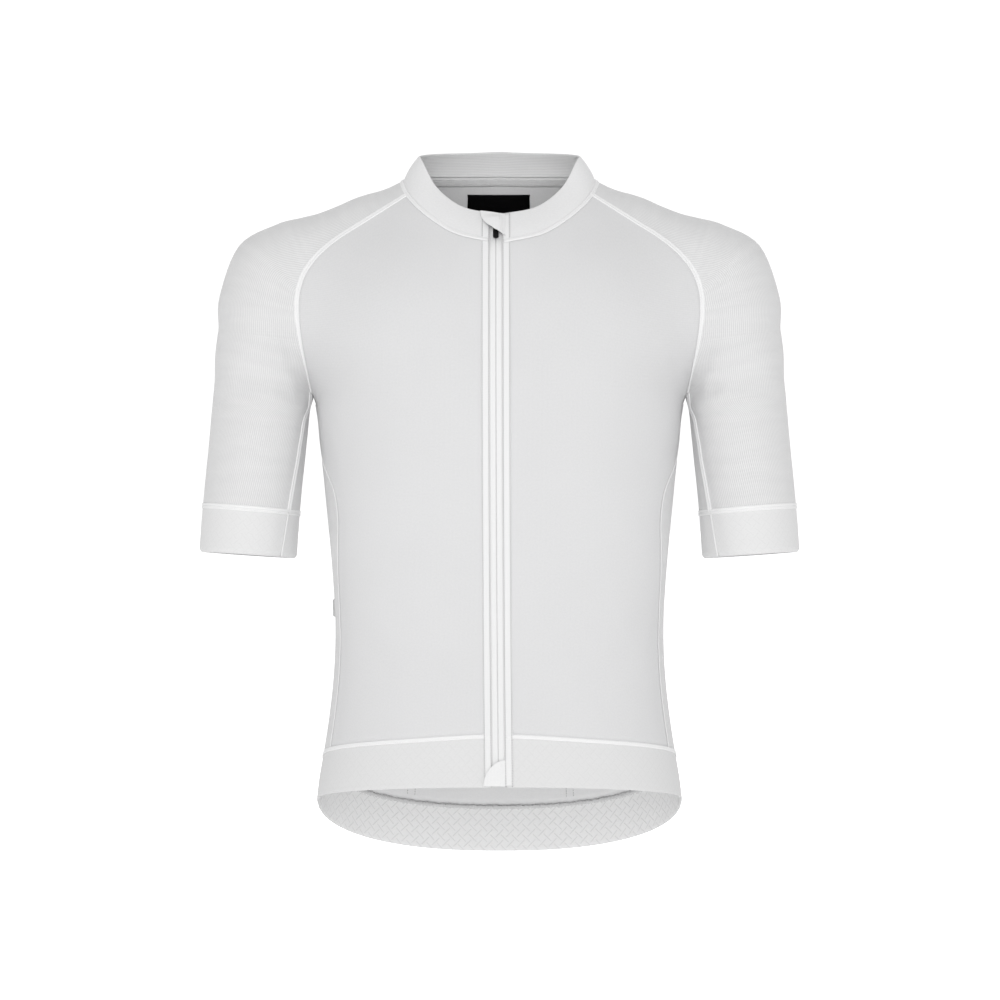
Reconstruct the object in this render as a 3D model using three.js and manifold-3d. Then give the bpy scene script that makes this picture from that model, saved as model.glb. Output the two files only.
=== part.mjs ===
// A short-sleeved raglan cycling jersey with a full zip, open and hollow as when it is worn.
// Millimetres. +X is the wearer's left, -Y the front and +Z up. The origin is the middle of the neck
// at the height of the collar seam's middle, where the wearer's neck and shoulders carry the garment.
// Every panel is a thin wall whose outer face lies on one skin: a trunk, two sleeves and a neck that
// run smoothly into each other. Seams are lines on that skin which neighbouring panels share.

import * as THREE from "three";
import { mergeVertices } from "three/addons/utils/BufferGeometryUtils.js";
import Module from "manifold-3d";

const { clamp, lerp, degToRad } = THREE.MathUtils;

// Walls and gaps
const CLOTH_WALL = 1.0;
const ELASTIC_WALL = 1.3;
const COLLAR_WALL = 1.6;
const FLAP_WALL = 0.9;
const SEAM_GAP = 0.44;

// Trunk: horizontal sections, from below the back hem to the neck
const TRUNK = [
  { z: -650, half: 174, front: 116, back: 120, square: 2.3 },
  { z: -561, half: 171.5, front: 113, back: 115, square: 2.3 },
  { z: -500, half: 162, front: 108, back: 104, square: 2.3 },
  { z: -450, half: 156, front: 105, back: 96, square: 2.3 },
  { z: -400, half: 154, front: 105, back: 93, square: 2.3 },
  { z: -340, half: 157.5, front: 111, back: 98, square: 2.3 },
  { z: -270, half: 164, front: 118, back: 107, square: 2.3 },
  { z: -200, half: 171.5, front: 121, back: 115, square: 2.35 },
  { z: -150, half: 178, front: 119, back: 117, square: 2.45 },
  { z: -100, half: 178, front: 110, back: 114, square: 2.45 },
  { z: -60, half: 158, front: 94, back: 103, square: 2.35 },
  { z: -20, half: 108, front: 72, back: 86, square: 2.2 },
  { z: 20, half: 70, front: 50, back: 64, square: 2.0 },
  { z: 70, half: 40, front: 30, back: 40, square: 2.0 },
];

// Sleeve: places on its middle line from the neck over the shoulder to below the cuff,
// its radius there as seen from the front, and its depth as a share of that radius
const SLEEVE = [
  { x: 50, y: 8, z: -34, radius: 48, deep: 1.0 },
  { x: 105, y: 9, z: -43, radius: 53, deep: 1.0 },
  { x: 150, y: 10, z: -58, radius: 50.5, deep: 1.05 },
  { x: 184, y: 10, z: -67, radius: 50.3, deep: 1.08 },
  { x: 208, y: 8, z: -79, radius: 52.3, deep: 1.1 },
  { x: 213, y: 6, z: -114, radius: 50.5, deep: 1.14 },
  { x: 218.8, y: 4, z: -150, radius: 48.2, deep: 1.16 },
  { x: 223.5, y: 3, z: -188, radius: 45.9, deep: 1.17 },
  { x: 227.8, y: 1, z: -235, radius: 45.6, deep: 1.17 },
  { x: 232.5, y: 0, z: -282, radius: 45.5, deep: 1.17 },
  { x: 237, y: -2, z: -345, radius: 46, deep: 1.17 },
];
const SLEEVE_STEPS = 48;

// Neck: height of the collar seam and of the collar's top edge, by angle round from centre front
const NECK_MIDDLE_Y = -8;
const COLLAR = [
  { angle: 0, seam: -45, top: -19 },
  { angle: 25, seam: -36, top: -12.5 },
  { angle: 42, seam: -22, top: 0 },
  { angle: 55, seam: -10, top: 13.5 },
  { angle: 66, seam: 0, top: 28 },
  { angle: 78, seam: 10, top: 37.5 },
  { angle: 92, seam: 18, top: 41 },
  { angle: 130, seam: 26, top: 47.5 },
  { angle: 180, seam: 29, top: 52 },
];
const NECK_SEAM_PLAN = { half: 90, front: 82, back: 74 };
const NECK_TOP_PLAN = { half: 76, front: 62, back: 65 };
const COLLAR_CROWN = 1.5;

// How widely the forms run into each other
const SHOULDER_BLEND = 42;
const ARMPIT_BLEND = 5;
const BLEND_FOOT_Z = -186;
const BLEND_RISE = 95;
const TRUNK_REACH = 185;

// Raglan seams as seen from the front and from behind, from the collar down to the armpit
const FRONT_RAGLAN = [
  { x: 118, z: -17.5 },
  { x: 140, z: -31.5 },
  { x: 159.5, z: -44.5 },
  { x: 175.5, z: -62 },
  { x: 184.5, z: -80 },
  { x: 187.5, z: -100 },
  { x: 186.5, z: -125 },
  { x: 184.5, z: -145 },
  { x: 183, z: -163 },
];
const BACK_RAGLAN = [
  { x: 100, z: 3 },
  { x: 128, z: -24 },
  { x: 152, z: -54 },
  { x: 170, z: -88 },
  { x: 180, z: -122 },
  { x: 182, z: -152 },
];
const FRONT_RAGLAN_ANGLE = 70;
const BACK_RAGLAN_ANGLE = 128;

// Armpit, and the side seam that leaves it behind the wearer's side and comes forward
const ARMPIT_EASE = 1.0;
const ARMPIT_AT = { x: 176, y: -6, z: -181 };
const SIDE_SEAM = [
  { z: -530, y: -38 },
  { z: -450, y: -38 },
  { z: -370, y: -38 },
  { z: -325, y: -46 },
  { z: -293, y: -53 },
  { z: -272, y: -51 },
  { z: -255, y: -39 },
  { z: -237, y: -10 },
  { z: -215, y: 7 },
  { z: -190, y: 4 },
];

// Hem: height of its lower edge at the sides, its slopes to the front and back, and its band
const HEM_SIDE_Z = -561;
const HEM_FRONT_SLOPE = -0.18;
const HEM_BACK_SLOPE = -0.525;
const HEM_ROUNDING = 14;
const HEM_BAND = 42;
const HEM_CENTRE_RISE = 0.1;
const HEM_CENTRE_REACH = 35;

// Cuff and the sleeve's own seam, by share of the way from the armpit to the cuff's end
const CUFF_BAND = 42.2;
const CUFF_END_Z = -332.6;
const SLEEVE_SEAM = [
  { down: 0, turn: 180 },
  { down: 0.12, turn: 158 },
  { down: 0.45, turn: 148 },
  { down: 0.75, turn: 141 },
  { down: 1, turn: 133 },
];

// Zip: place of its middle line, the tape that shows each side of it and the facing over its edge
const ZIP_TOP_X = -3.3;
const ZIP_HEM_X = -0.7;
const ZIP_BEND = 2.5;
const TAPE_SHOWS = 6.2;
const TAPE_WIDTH = 12;
const TAPE_WALL = 0.6;
const TAPE_DROP = -1.4;
const FACING_WIDTH = 7;
const FACING_LIFT = 1.5;
const FACING_WALL = 0.8;
const COIL_HALF = 2.1;
const COIL_WALL = 1.4;

// Grid counts
const FRONT_COLUMNS = 10;
const BACK_COLUMNS = 20;
const SLEEVE_COLUMNS = 20;
const SIDE_COLUMNS = 5;
const SIDE_ROWS = 13;
const RAGLAN_ROWS = 14;
const LOWER_SLEEVE_ROWS = 6;
const BAND_ROWS = 2;
const COLLAR_COLUMNS = 44;
const ZIP_ROWS = 40;
const EASE_ROUNDS = 6;

// Back seam of the side panel, which leaves the armpit with the front one
const SIDE_BACK_SEAM = [
  { z: -530, y: 46 },
  { z: -370, y: 44 },
  { z: -325, y: 46 },
  { z: -287, y: 48 },
  { z: -262, y: 43 },
  { z: -237, y: 33 },
  { z: -212, y: 20 },
  { z: -190, y: 4 },
];
const BAND_SEAM_ANGLE = 97;

// Flaps over the two ends of the zip: their free edge, and how far they stand off the cloth
const GARAGE_FLAP = [
  { z: -20.5, x: -17.4 },
  { z: -25, x: -16.9 },
  { z: -29, x: -15.2 },
  { z: -33, x: -11.8 },
  { z: -36.5, x: -7 },
  { z: -39.2, x: -1.2 },
  { z: -40.2, x: 1.5 },
];
const HEM_FLAP = [
  { z: -517.5, x: 1.5 },
  { z: -519, x: -1.5 },
  { z: -523, x: -8.2 },
  { z: -527, x: -11.4 },
  { z: -531, x: -13.2 },
  { z: -536, x: -14.2 },
  { z: -540.2, x: -14.5 },
];
const FLAP_ROOT_X = 3.4;
const FLAP_ROWS = 8;
const FLAP_COLUMNS = 10;
const GARAGE_LIFT = { root: 2.2, middle: 5.4, free: 1.9 };
const HEM_FLAP_LIFT = { root: 1.0, middle: 1.7, free: 1.7 };

// Pockets on the back: edges in angle from centre front, heights and stand-off
const POCKETS = [
  { name: "pocket_left", from: 108, to: 147.2, top: -372 },
  { name: "pocket_middle", from: 147.8, to: 219.7, top: -366 },
  { name: "pocket_right", from: 220.3, to: 252, top: -372 },
];
const POCKET_LIFT = 0.9;
const POCKET_WALL = 0.8;
const POCKET_GAPE = 2.6;

// Neck tape and blank neck label, inside the back
const NECK_TAPE = { from: 0.03, to: 0.97, drop: 7.5, wall: 0.6 };
const NECK_LABEL = { width: 61, top: 11, bottom: -17, wall: 0.5 };

// Folded tab in the wearer's right side seam
const SIDE_TAB = { z: -383, height: 17, reach: 4.2, thick: 1.4, y: 12, gap: 0.75 };

// Slider and pull tab
const SLIDER = { z: -33, height: 9.5, width: 7.2, thick: 1.9, back: -1.6, corner: 1.8 };
const EAR = { inner: 1.5, thick: 0.9, high: 2.2, half: 1.5, hole: 0.75 };
const HINGE = { up: 2.5, out: 1.35, pin: 0.45, pin_length: 5, barrel: 0.85 };
const PULL = { width: 5.2, length: 16.4, thick: 1.0, neck: 2.3, neck_length: 3.2, corner: 2.0 };

// Colours
const WHITE_KNIT = "#e9e9ea";
const WHITE_RIB = "#e4e4e6";
const WHITE_ELASTIC = "#efeff0";
const WHITE_TAPE = "#f3f3f3";
const WHITE_PLASTIC = "#ececec";
const BLACK = "#0c0c0d";

const jersey = new THREE.Group();
jersey.name = "cycling_jersey";

// A smooth curve through one column of a table
function column(table, key, name) {
  const keys = table.map((row) => row[key]);
  const values = table.map((row) => row[name]);
  const last = keys.length - 1;
  const slope = (i) => {
    const a = Math.max(i - 1, 0);
    const b = Math.min(i + 1, last);
    return (values[b] - values[a]) / (keys[b] - keys[a]);
  };
  const rising = keys[last] > keys[0];
  return (at) => {
    const inside = rising ? clamp(at, keys[0], keys[last]) : clamp(at, keys[last], keys[0]);
    let i = 0;
    while (i < last - 1 && (rising ? inside > keys[i + 1] : inside < keys[i + 1])) {
      i += 1;
    }
    const span = keys[i + 1] - keys[i];
    const t = (inside - keys[i]) / span;
    const t2 = t * t;
    const t3 = t2 * t;
    return (2 * t3 - 3 * t2 + 1) * values[i] + (t3 - 2 * t2 + t) * span * slope(i)
      + (3 * t2 - 2 * t3) * values[i + 1] + (t3 - t2) * span * slope(i + 1);
  };
}

const trunkHalf = column(TRUNK, "z", "half");
const trunkFront = column(TRUNK, "z", "front");
const trunkBack = column(TRUNK, "z", "back");
const trunkSquare = column(TRUNK, "z", "square");
const sideFrontY = column(SIDE_SEAM, "z", "y");
const sideBackY = column(SIDE_BACK_SEAM, "z", "y");

// The sleeve's middle line as short steps with a radius and a depth at each
function sleeveStations() {
  const line = new THREE.CatmullRomCurve3(SLEEVE.map((row) => new THREE.Vector3(row.x, row.y, row.z)));
  const rows = SLEEVE.map((row, index) => ({ at: index, radius: row.radius, deep: row.deep }));
  const radius = column(rows, "at", "radius");
  const deep = column(rows, "at", "deep");
  const stations = [];
  for (let i = 0; i <= SLEEVE_STEPS; i += 1) {
    const t = i / SLEEVE_STEPS;
    const at = t * (SLEEVE.length - 1);
    stations.push({ at: line.getPoint(t), along: line.getTangent(t), radius: radius(at), deep: deep(at) });
  }
  return stations;
}

const STATIONS = sleeveStations();

function trunkDistance(x, y, z) {
  const half = trunkHalf(z);
  const deep = y < 0 ? trunkFront(z) : trunkBack(z);
  const power = trunkSquare(z);
  const q = (Math.abs(x / half) ** power + Math.abs(y / deep) ** power) ** (1 / power);
  const reach = Math.hypot(x, y);
  return q < 1e-6 ? -Math.min(half, deep) : reach * (1 - 1 / q);
}

function sleeveDistance(x, y, z) {
  let best = Infinity;
  for (let i = 0; i < STATIONS.length - 1; i += 1) {
    const a = STATIONS[i];
    const b = STATIONS[i + 1];
    const dx = b.at.x - a.at.x;
    const dz = b.at.z - a.at.z;
    const t = clamp(((x - a.at.x) * dx + (z - a.at.z) * dz) / (dx * dx + dz * dz), 0, 1);
    const ox = x - lerp(a.at.x, b.at.x, t);
    const oy = (y - lerp(a.at.y, b.at.y, t)) / lerp(a.deep, b.deep, t);
    const oz = z - lerp(a.at.z, b.at.z, t);
    best = Math.min(best, Math.sqrt(ox * ox + oy * oy + oz * oz) - lerp(a.radius, b.radius, t));
  }
  return best;
}

// Signed distance from the skin, less than nothing inside
function skin(x, y, z) {
  const trunk = trunkDistance(x, y, z);
  const sleeve = sleeveDistance(Math.abs(x), y, z);
  const blend = lerp(ARMPIT_BLEND, SHOULDER_BLEND, clamp((z - BLEND_FOOT_Z) / BLEND_RISE, 0, 1));
  const mix = Math.max(blend - Math.abs(trunk - sleeve), 0) / blend;
  return Math.min(trunk, sleeve) - mix * mix * blend / 4;
}

function skinNormal(p) {
  const step = 0.6;
  return new THREE.Vector3(
    skin(p.x + step, p.y, p.z) - skin(p.x - step, p.y, p.z),
    skin(p.x, p.y + step, p.z) - skin(p.x, p.y - step, p.z),
    skin(p.x, p.y, p.z + step) - skin(p.x, p.y, p.z - step),
  ).normalize();
}

// The first place where a ray meets the skin, going out from inside or in from outside
function meet(start, direction, furthest, field = skin) {
  const sign = Math.sign(field(start.x, start.y, start.z));
  const at = (t) => start.clone().addScaledVector(direction, t);
  const value = (t) => {
    const p = at(t);
    return field(p.x, p.y, p.z) * sign;
  };
  let near = 0;
  let far = 3;
  while (far < furthest && value(far) > 0) {
    near = far;
    far = Math.min(far + 3, furthest);
  }
  for (let i = 0; i < 24; i += 1) {
    const middle = (near + far) / 2;
    if (value(middle) > 0) {
      near = middle;
    } else {
      far = middle;
    }
  }
  return at(near);
}

// Trunk point at an angle from centre front (towards the wearer's left) and a height
function trunkPoint(angle, z) {
  const turn = degToRad(angle);
  const furthest = Math.min(TRUNK_REACH / Math.max(Math.abs(Math.sin(turn)), 0.1), 300);
  return meet(new THREE.Vector3(0, 0, z), new THREE.Vector3(Math.sin(turn), -Math.cos(turn), 0), furthest);
}

function angleOf(p) {
  const turn = THREE.MathUtils.radToDeg(Math.atan2(p.x, -p.y));
  return turn < -1e-9 ? turn + 360 : turn;
}

// Mirror a point to the wearer's right, and an angle with it
function mirrored(p) {
  return new THREE.Vector3(-p.x, p.y, p.z);
}

function hemHeight(y) {
  const rounded = Math.sqrt(y * y + HEM_ROUNDING * HEM_ROUNDING);
  const front = (rounded - y) / 2;
  const back = (rounded + y) / 2;
  return HEM_SIDE_Z - HEM_FRONT_SLOPE * front + HEM_BACK_SLOPE * back;
}

// Trunk point at an angle, at a height above the hem's edge
function hemPoint(angle, above) {
  const off = Math.min(Math.abs(angle), Math.abs(360 - angle)) / HEM_CENTRE_REACH;
  const raised = above * (1 + HEM_CENTRE_RISE * Math.exp(-off * off));
  let p = trunkPoint(angle, HEM_SIDE_Z);
  for (let i = 0; i < 4; i += 1) {
    p = trunkPoint(angle, hemHeight(p.y) + raised);
  }
  return p;
}

const collarSeamHeight = column(COLLAR, "angle", "seam");
const collarTopHeight = column(COLLAR, "angle", "top");

function fromCentreFront(angle) {
  return Math.min(Math.abs(angle), Math.abs(360 - angle));
}

function ovalPoint(plan, angle, z) {
  const turn = degToRad(angle);
  const deep = Math.cos(turn) > 0 ? plan.front : plan.back;
  return new THREE.Vector3(plan.half * Math.sin(turn), NECK_MIDDLE_Y - deep * Math.cos(turn), z);
}

function collarSeam(angle) {
  return ovalPoint(NECK_SEAM_PLAN, angle, collarSeamHeight(fromCentreFront(angle)));
}

function collarTop(angle) {
  return ovalPoint(NECK_TOP_PLAN, angle, collarTopHeight(fromCentreFront(angle)));
}

// Points evenly spaced along a line of points
function evenly(points, count) {
  const lengths = [0];
  for (let i = 1; i < points.length; i += 1) {
    lengths.push(lengths[i - 1] + points[i].distanceTo(points[i - 1]));
  }
  const total = lengths[lengths.length - 1];
  const result = [];
  let i = 0;
  for (let n = 0; n <= count; n += 1) {
    const want = total * n / count;
    while (i < points.length - 2 && lengths[i + 1] < want) {
      i += 1;
    }
    const t = (want - lengths[i]) / (lengths[i + 1] - lengths[i]);
    result.push(points[i].clone().lerp(points[i + 1], clamp(t, 0, 1)));
  }
  return result;
}

function spread(count, make) {
  return Array.from({ length: count + 1 }, (unused, i) => make(i / count, i));
}

// The wearer's left side of the trunk, at a depth and a height
function sidePoint(y, z) {
  return meet(new THREE.Vector3(0, y, z), new THREE.Vector3(1, 0, 0), 300);
}

const ARMPIT = new THREE.Vector3(ARMPIT_AT.x, ARMPIT_AT.y, ARMPIT_AT.z);

// Raglan seam on the wearer's left, from the armpit up to the collar seam. It is given as seen
// from the front (side -1) or from behind (side 1) and laid on the skin.
function raglanSeam(table, side, collarAngle) {
  const rows = table.map((row, index) => ({ at: index, x: row.x, z: row.z }));
  const x = column(rows, "at", "x");
  const z = column(rows, "at", "z");
  const line = spread(80, (t) => {
    const at = (1 - t) * (rows.length - 1);
    return meet(new THREE.Vector3(x(at), 220 * side, z(at)), new THREE.Vector3(0, -side, 0), 260);
  });
  const low = line[0].clone();
  const high = line[80].clone();
  const toArmpit = ARMPIT.clone().sub(low);
  const toCollar = collarSeam(collarAngle).sub(high);
  const joined = line.map((p) => {
    const nearLow = clamp(1 - p.distanceTo(low) / 60, 0, 1) ** 2;
    const nearHigh = clamp(1 - p.distanceTo(high) / 80, 0, 1) ** 2;
    return p.clone().addScaledVector(toArmpit, nearLow).addScaledVector(toCollar, nearHigh);
  });
  return evenly(joined, RAGLAN_ROWS);
}

const FRONT_SEAM = raglanSeam(FRONT_RAGLAN, -1, FRONT_RAGLAN_ANGLE);
const BACK_SEAM = raglanSeam(BACK_RAGLAN, 1, BACK_RAGLAN_ANGLE);

// Share of the way up the side, with the rows closest together at the armpit
function sideShare(t) {
  return 1 - (1 - t) ** 1.35;
}

// Side seams on the wearer's left, from the hem band up to the armpit
function sideSeam(depth) {
  const angle = angleOf(sidePoint(depth(-500), -500));
  const foot = hemPoint(angle, HEM_BAND);
  return spread(SIDE_ROWS, (t) => {
    if (t === 0) {
      return foot;
    }
    const z = lerp(foot.z, ARMPIT.z, sideShare(t));
    return t === 1 ? ARMPIT.clone() : sidePoint(depth(z), z);
  });
}

const SIDE_FRONT = sideSeam(sideFrontY);
const SIDE_BACK = sideSeam(sideBackY);

// A boundary point with its angle and height, which place it on the trunk
function marked(p, angle = angleOf(p)) {
  return { p, angle, z: p.z };
}

// A sheet on the trunk between four boundary lines of marked points
function trunkSheet({ bottom, top, left, right }) {
  const rows = left.length - 1;
  const cols = bottom.length - 1;
  const blend = (u, v, name) => {
    const across = lerp(left[v.i][name], right[v.i][name], u.t);
    const up = lerp(bottom[u.i][name], top[u.i][name], v.t);
    const corners = lerp(
      lerp(bottom[0][name], bottom[cols][name], u.t),
      lerp(top[0][name], top[cols][name], u.t),
      v.t,
    );
    return across + up - corners;
  };
  const off = (mark) => mark.p.clone().sub(trunkPoint(mark.angle, mark.z));
  const offs = { bottom: bottom.map(off), top: top.map(off), left: left.map(off), right: right.map(off) };
  return spread(rows, (tv, iv) => spread(cols, (tu, iu) => {
    const u = { t: tu, i: iu };
    const v = { t: tv, i: iv };
    const p = trunkPoint(blend(u, v, "angle"), blend(u, v, "z"));
    const wl = (1 - tu) ** 3;
    const wr = tu ** 3;
    const wb = (1 - tv) ** 5;
    const wt = tv ** 5;
    p.addScaledVector(offs.left[iv], wl).addScaledVector(offs.right[iv], wr);
    p.addScaledVector(offs.bottom[iu], wb).addScaledVector(offs.top[iu], wt);
    p.addScaledVector(offs.left[0], -wl * wb).addScaledVector(offs.right[0], -wr * wb);
    p.addScaledVector(offs.left[rows], -wl * wt).addScaledVector(offs.right[rows], -wr * wt);
    return p;
  }));
}

// Ease a grid's inner points towards their neighbours, most about one row
function eased(grid, row, reach, rounds) {
  let now = grid;
  for (let n = 0; n < rounds; n += 1) {
    now = now.map((line, i) => line.map((p, j) => {
      if (i === 0 || j === 0 || i === now.length - 1 || j === line.length - 1) {
        return p;
      }
      const middle = now[i - 1][j].clone().add(now[i + 1][j]).add(line[j - 1]).add(line[j + 1]);
      const amount = 0.6 * Math.exp(-(((i - row) / reach) ** 2));
      return p.clone().lerp(middle.multiplyScalar(0.25), amount);
    }));
  }
  return now;
}

function acrossRow(row) {
  return row.map((unused, i) => {
    const a = row[Math.max(i - 1, 0)];
    const b = row[Math.min(i + 1, row.length - 1)];
    return b.clone().sub(a);
  });
}

// Normals of a grid of points, all on the side of its first row's "out"
function gridNormals(grid, out) {
  const along = grid.map(acrossRow);
  const normals = grid.map((row, i) => row.map((p, j) => {
    const below = grid[Math.max(i - 1, 0)][j];
    const above = grid[Math.min(i + 1, grid.length - 1)][j];
    return along[i][j].clone().cross(above.clone().sub(below)).normalize();
  }));
  const i = Math.floor(grid.length / 2);
  const j = Math.floor(grid[0].length / 2);
  const sign = Math.sign(normals[i][j].dot(out(grid[i][j])));
  return normals.map((row) => row.map((n) => n.multiplyScalar(sign)));
}

function fromAxis(p) {
  return new THREE.Vector3(p.x, p.y, 0);
}

// Draw a grid's edges in from the seams
function drawnIn(grid, amount) {
  const result = grid.map((row) => row.map((p) => p.clone()));
  const last = grid.length - 1;
  const end = grid[0].length - 1;
  const step = (from, to) => {
    const way = to.clone().sub(from);
    return way.setLength(Math.min(amount, way.length() * 0.4));
  };
  for (let j = 0; j <= end; j += 1) {
    result[0][j].add(step(grid[0][j], grid[1][j]));
    result[last][j].add(step(grid[last][j], grid[last - 1][j]));
  }
  for (let i = 0; i <= last; i += 1) {
    result[i][0].add(step(grid[i][0], grid[i][1]));
    result[i][end].add(step(grid[i][end], grid[i][end - 1]));
  }
  return result;
}

// One closed wall between two grids of points, "outer" facing the way its normals point
function wallGeometry(outer, inner) {
  const rows = outer.length;
  const cols = outer[0].length;
  const corners = [];
  outer.forEach((row) => row.forEach((p) => corners.push(p.x, p.y, p.z)));
  inner.forEach((row) => row.forEach((p) => corners.push(p.x, p.y, p.z)));
  const at = (side, i, j) => side * rows * cols + i * cols + j;
  const faces = [];
  const quad = (a, b, c, d) => faces.push(a, b, c, a, c, d);
  for (let i = 0; i < rows - 1; i += 1) {
    for (let j = 0; j < cols - 1; j += 1) {
      quad(at(0, i, j), at(0, i, j + 1), at(0, i + 1, j + 1), at(0, i + 1, j));
      quad(at(1, i, j), at(1, i + 1, j), at(1, i + 1, j + 1), at(1, i, j + 1));
    }
  }
  for (let j = 0; j < cols - 1; j += 1) {
    quad(at(0, 0, j), at(1, 0, j), at(1, 0, j + 1), at(0, 0, j + 1));
    quad(at(0, rows - 1, j), at(0, rows - 1, j + 1), at(1, rows - 1, j + 1), at(1, rows - 1, j));
  }
  for (let i = 0; i < rows - 1; i += 1) {
    quad(at(0, i, 0), at(0, i + 1, 0), at(1, i + 1, 0), at(1, i, 0));
    quad(at(0, i, cols - 1), at(1, i, cols - 1), at(1, i + 1, cols - 1), at(0, i + 1, cols - 1));
  }
  const geometry = new THREE.BufferGeometry();
  geometry.setAttribute("position", new THREE.Float32BufferAttribute(corners, 3));
  geometry.setIndex(faces);
  geometry.computeVertexNormals();
  return geometry;
}

function signedVolume(geometry) {
  const position = geometry.getAttribute("position");
  const index = geometry.getIndex();
  const corner = (i) => new THREE.Vector3().fromBufferAttribute(position, index.getX(i));
  let volume = 0;
  for (let i = 0; i < index.count; i += 3) {
    volume += corner(i).dot(corner(i + 1).cross(corner(i + 2))) / 6;
  }
  return volume;
}

function addPiece(name, geometry, colour, roughness = 0.9) {
  const material = new THREE.MeshStandardMaterial({ color: colour, roughness, metalness: 0 });
  material.name = `${name}_finish`;
  const mesh = new THREE.Mesh(geometry, material);
  mesh.name = name;
  jersey.add(mesh);
}

// Add a cloth piece: a wall from lift down to lift - wall, measured out from the grid
function addSheet(name, grid, { wall, lift = 0, colour, normals = null, inset = SEAM_GAP / 2 }) {
  const drawn = inset > 0 ? drawnIn(grid, inset) : grid;
  const out = normals ?? grid.map((row) => row.map((p) => skinNormal(p)));
  const high = typeof lift === "function" ? lift : () => lift;
  const outer = drawn.map((row, i) => row.map((p, j) => p.clone().addScaledVector(out[i][j], high(i, j))));
  const inner = outer.map((row, i) => row.map((p, j) => p.clone().addScaledVector(out[i][j], -wall)));
  let geometry = wallGeometry(outer, inner);
  if (signedVolume(geometry) < 0) {
    geometry = wallGeometry(inner, outer);
  }
  addPiece(name, geometry, colour);
}

function mirroredGrid(grid) {
  return grid.map((row) => row.map(mirrored));
}

// Zip line: its middle, and a point on the front at a distance from it and a height
const ZIP_BOTTOM_Z = hemPoint(0, 0).z;
const ZIP_SEAM_Z = collarSeamHeight(0);
const ZIP_TOP_Z = collarTopHeight(0);

function zipMiddle(z) {
  const down = Math.max(ZIP_TOP_Z - z, 0) / (ZIP_TOP_Z - ZIP_BOTTOM_Z);
  return lerp(ZIP_TOP_X, ZIP_HEM_X, down ** ZIP_BEND);
}

function collarAt(angle, t) {
  const low = collarSeam(angle);
  const high = collarTop(angle);
  const out = new THREE.Vector3(Math.sin(degToRad(angle)), -Math.cos(degToRad(angle)), 0);
  return low.lerp(high, t).addScaledVector(out, COLLAR_CROWN * 4 * t * (1 - t));
}

function frontAt(x, z) {
  if (z > ZIP_SEAM_Z) {
    const t = clamp((z - ZIP_SEAM_Z) / (ZIP_TOP_Z - ZIP_SEAM_Z), 0, 1);
    const angle = THREE.MathUtils.radToDeg(Math.asin(x / lerp(NECK_SEAM_PLAN.half, NECK_TOP_PLAN.half, t)));
    const p = collarAt(angle, t);
    return new THREE.Vector3(x, p.y, p.z);
  }
  const p = meet(new THREE.Vector3(x, -220, z), new THREE.Vector3(0, 1, 0), 260);
  const joinY = collarSeam(0).y - trunkPoint(0, ZIP_SEAM_Z).y;
  const near = clamp(1 - (ZIP_SEAM_Z - z) / 60, 0, 1);
  p.y += joinY * near * near * (3 - 2 * near);
  return p;
}

function zipPoint(aside, z) {
  return frontAt(zipMiddle(z) + aside, z);
}

// Front panels
function frontSheet(side) {
  const edge = TAPE_SHOWS + 0.6;
  const seam = [...SIDE_FRONT, ...FRONT_SEAM.slice(1)];
  const low = hemPoint(0, HEM_BAND).z;
  const rows = seam.length - 1;
  const left = seam.map((p, i) => {
    const z = i <= SIDE_ROWS
      ? lerp(low, ARMPIT.z, sideShare(i / SIDE_ROWS))
      : lerp(ARMPIT.z, ZIP_SEAM_Z, (i - SIDE_ROWS) / RAGLAN_ROWS);
    const q = zipPoint(side * edge, z);
    q.x *= side;
    return marked(q, THREE.MathUtils.radToDeg(Math.atan2(q.x, -q.y)));
  });
  const right = seam.map((p) => marked(p));
  const foot = right[0].angle;
  const bottom = spread(FRONT_COLUMNS, (t, i) => {
    if (i === 0) {
      return left[0];
    }
    return i === FRONT_COLUMNS ? right[0] : marked(hemPoint(lerp(left[0].angle, foot, t), HEM_BAND));
  });
  const top = spread(FRONT_COLUMNS, (t, i) => {
    if (i === 0) {
      return left[rows];
    }
    return i === FRONT_COLUMNS
      ? right[rows]
      : marked(collarSeam(lerp(left[rows].angle, FRONT_RAGLAN_ANGLE, t)));
  });
  return eased(trunkSheet({ bottom, top, left, right }), SIDE_ROWS + 3, 5, EASE_ROUNDS);
}

const frontLeft = frontSheet(1);
const frontRight = mirroredGrid(frontSheet(-1));
addSheet("front_left", frontLeft, { wall: CLOTH_WALL, colour: WHITE_KNIT });
addSheet("front_right", frontRight, { wall: CLOTH_WALL, colour: WHITE_KNIT });

// Side panels
const sideLeft = SIDE_FRONT.slice(0, -1).map((a, i) => {
  const b = SIDE_BACK[i];
  if (i === 0) {
    return spread(SIDE_COLUMNS, (t) => hemPoint(lerp(angleOf(a), angleOf(b), t), HEM_BAND));
  }
  return spread(SIDE_COLUMNS, (t) => sidePoint(lerp(a.y, b.y, t), lerp(a.z, b.z, t)));
});
addSheet("side_left", sideLeft, { wall: CLOTH_WALL, colour: WHITE_RIB });
addSheet("side_right", mirroredGrid(sideLeft), { wall: CLOTH_WALL, colour: WHITE_RIB });

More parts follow.
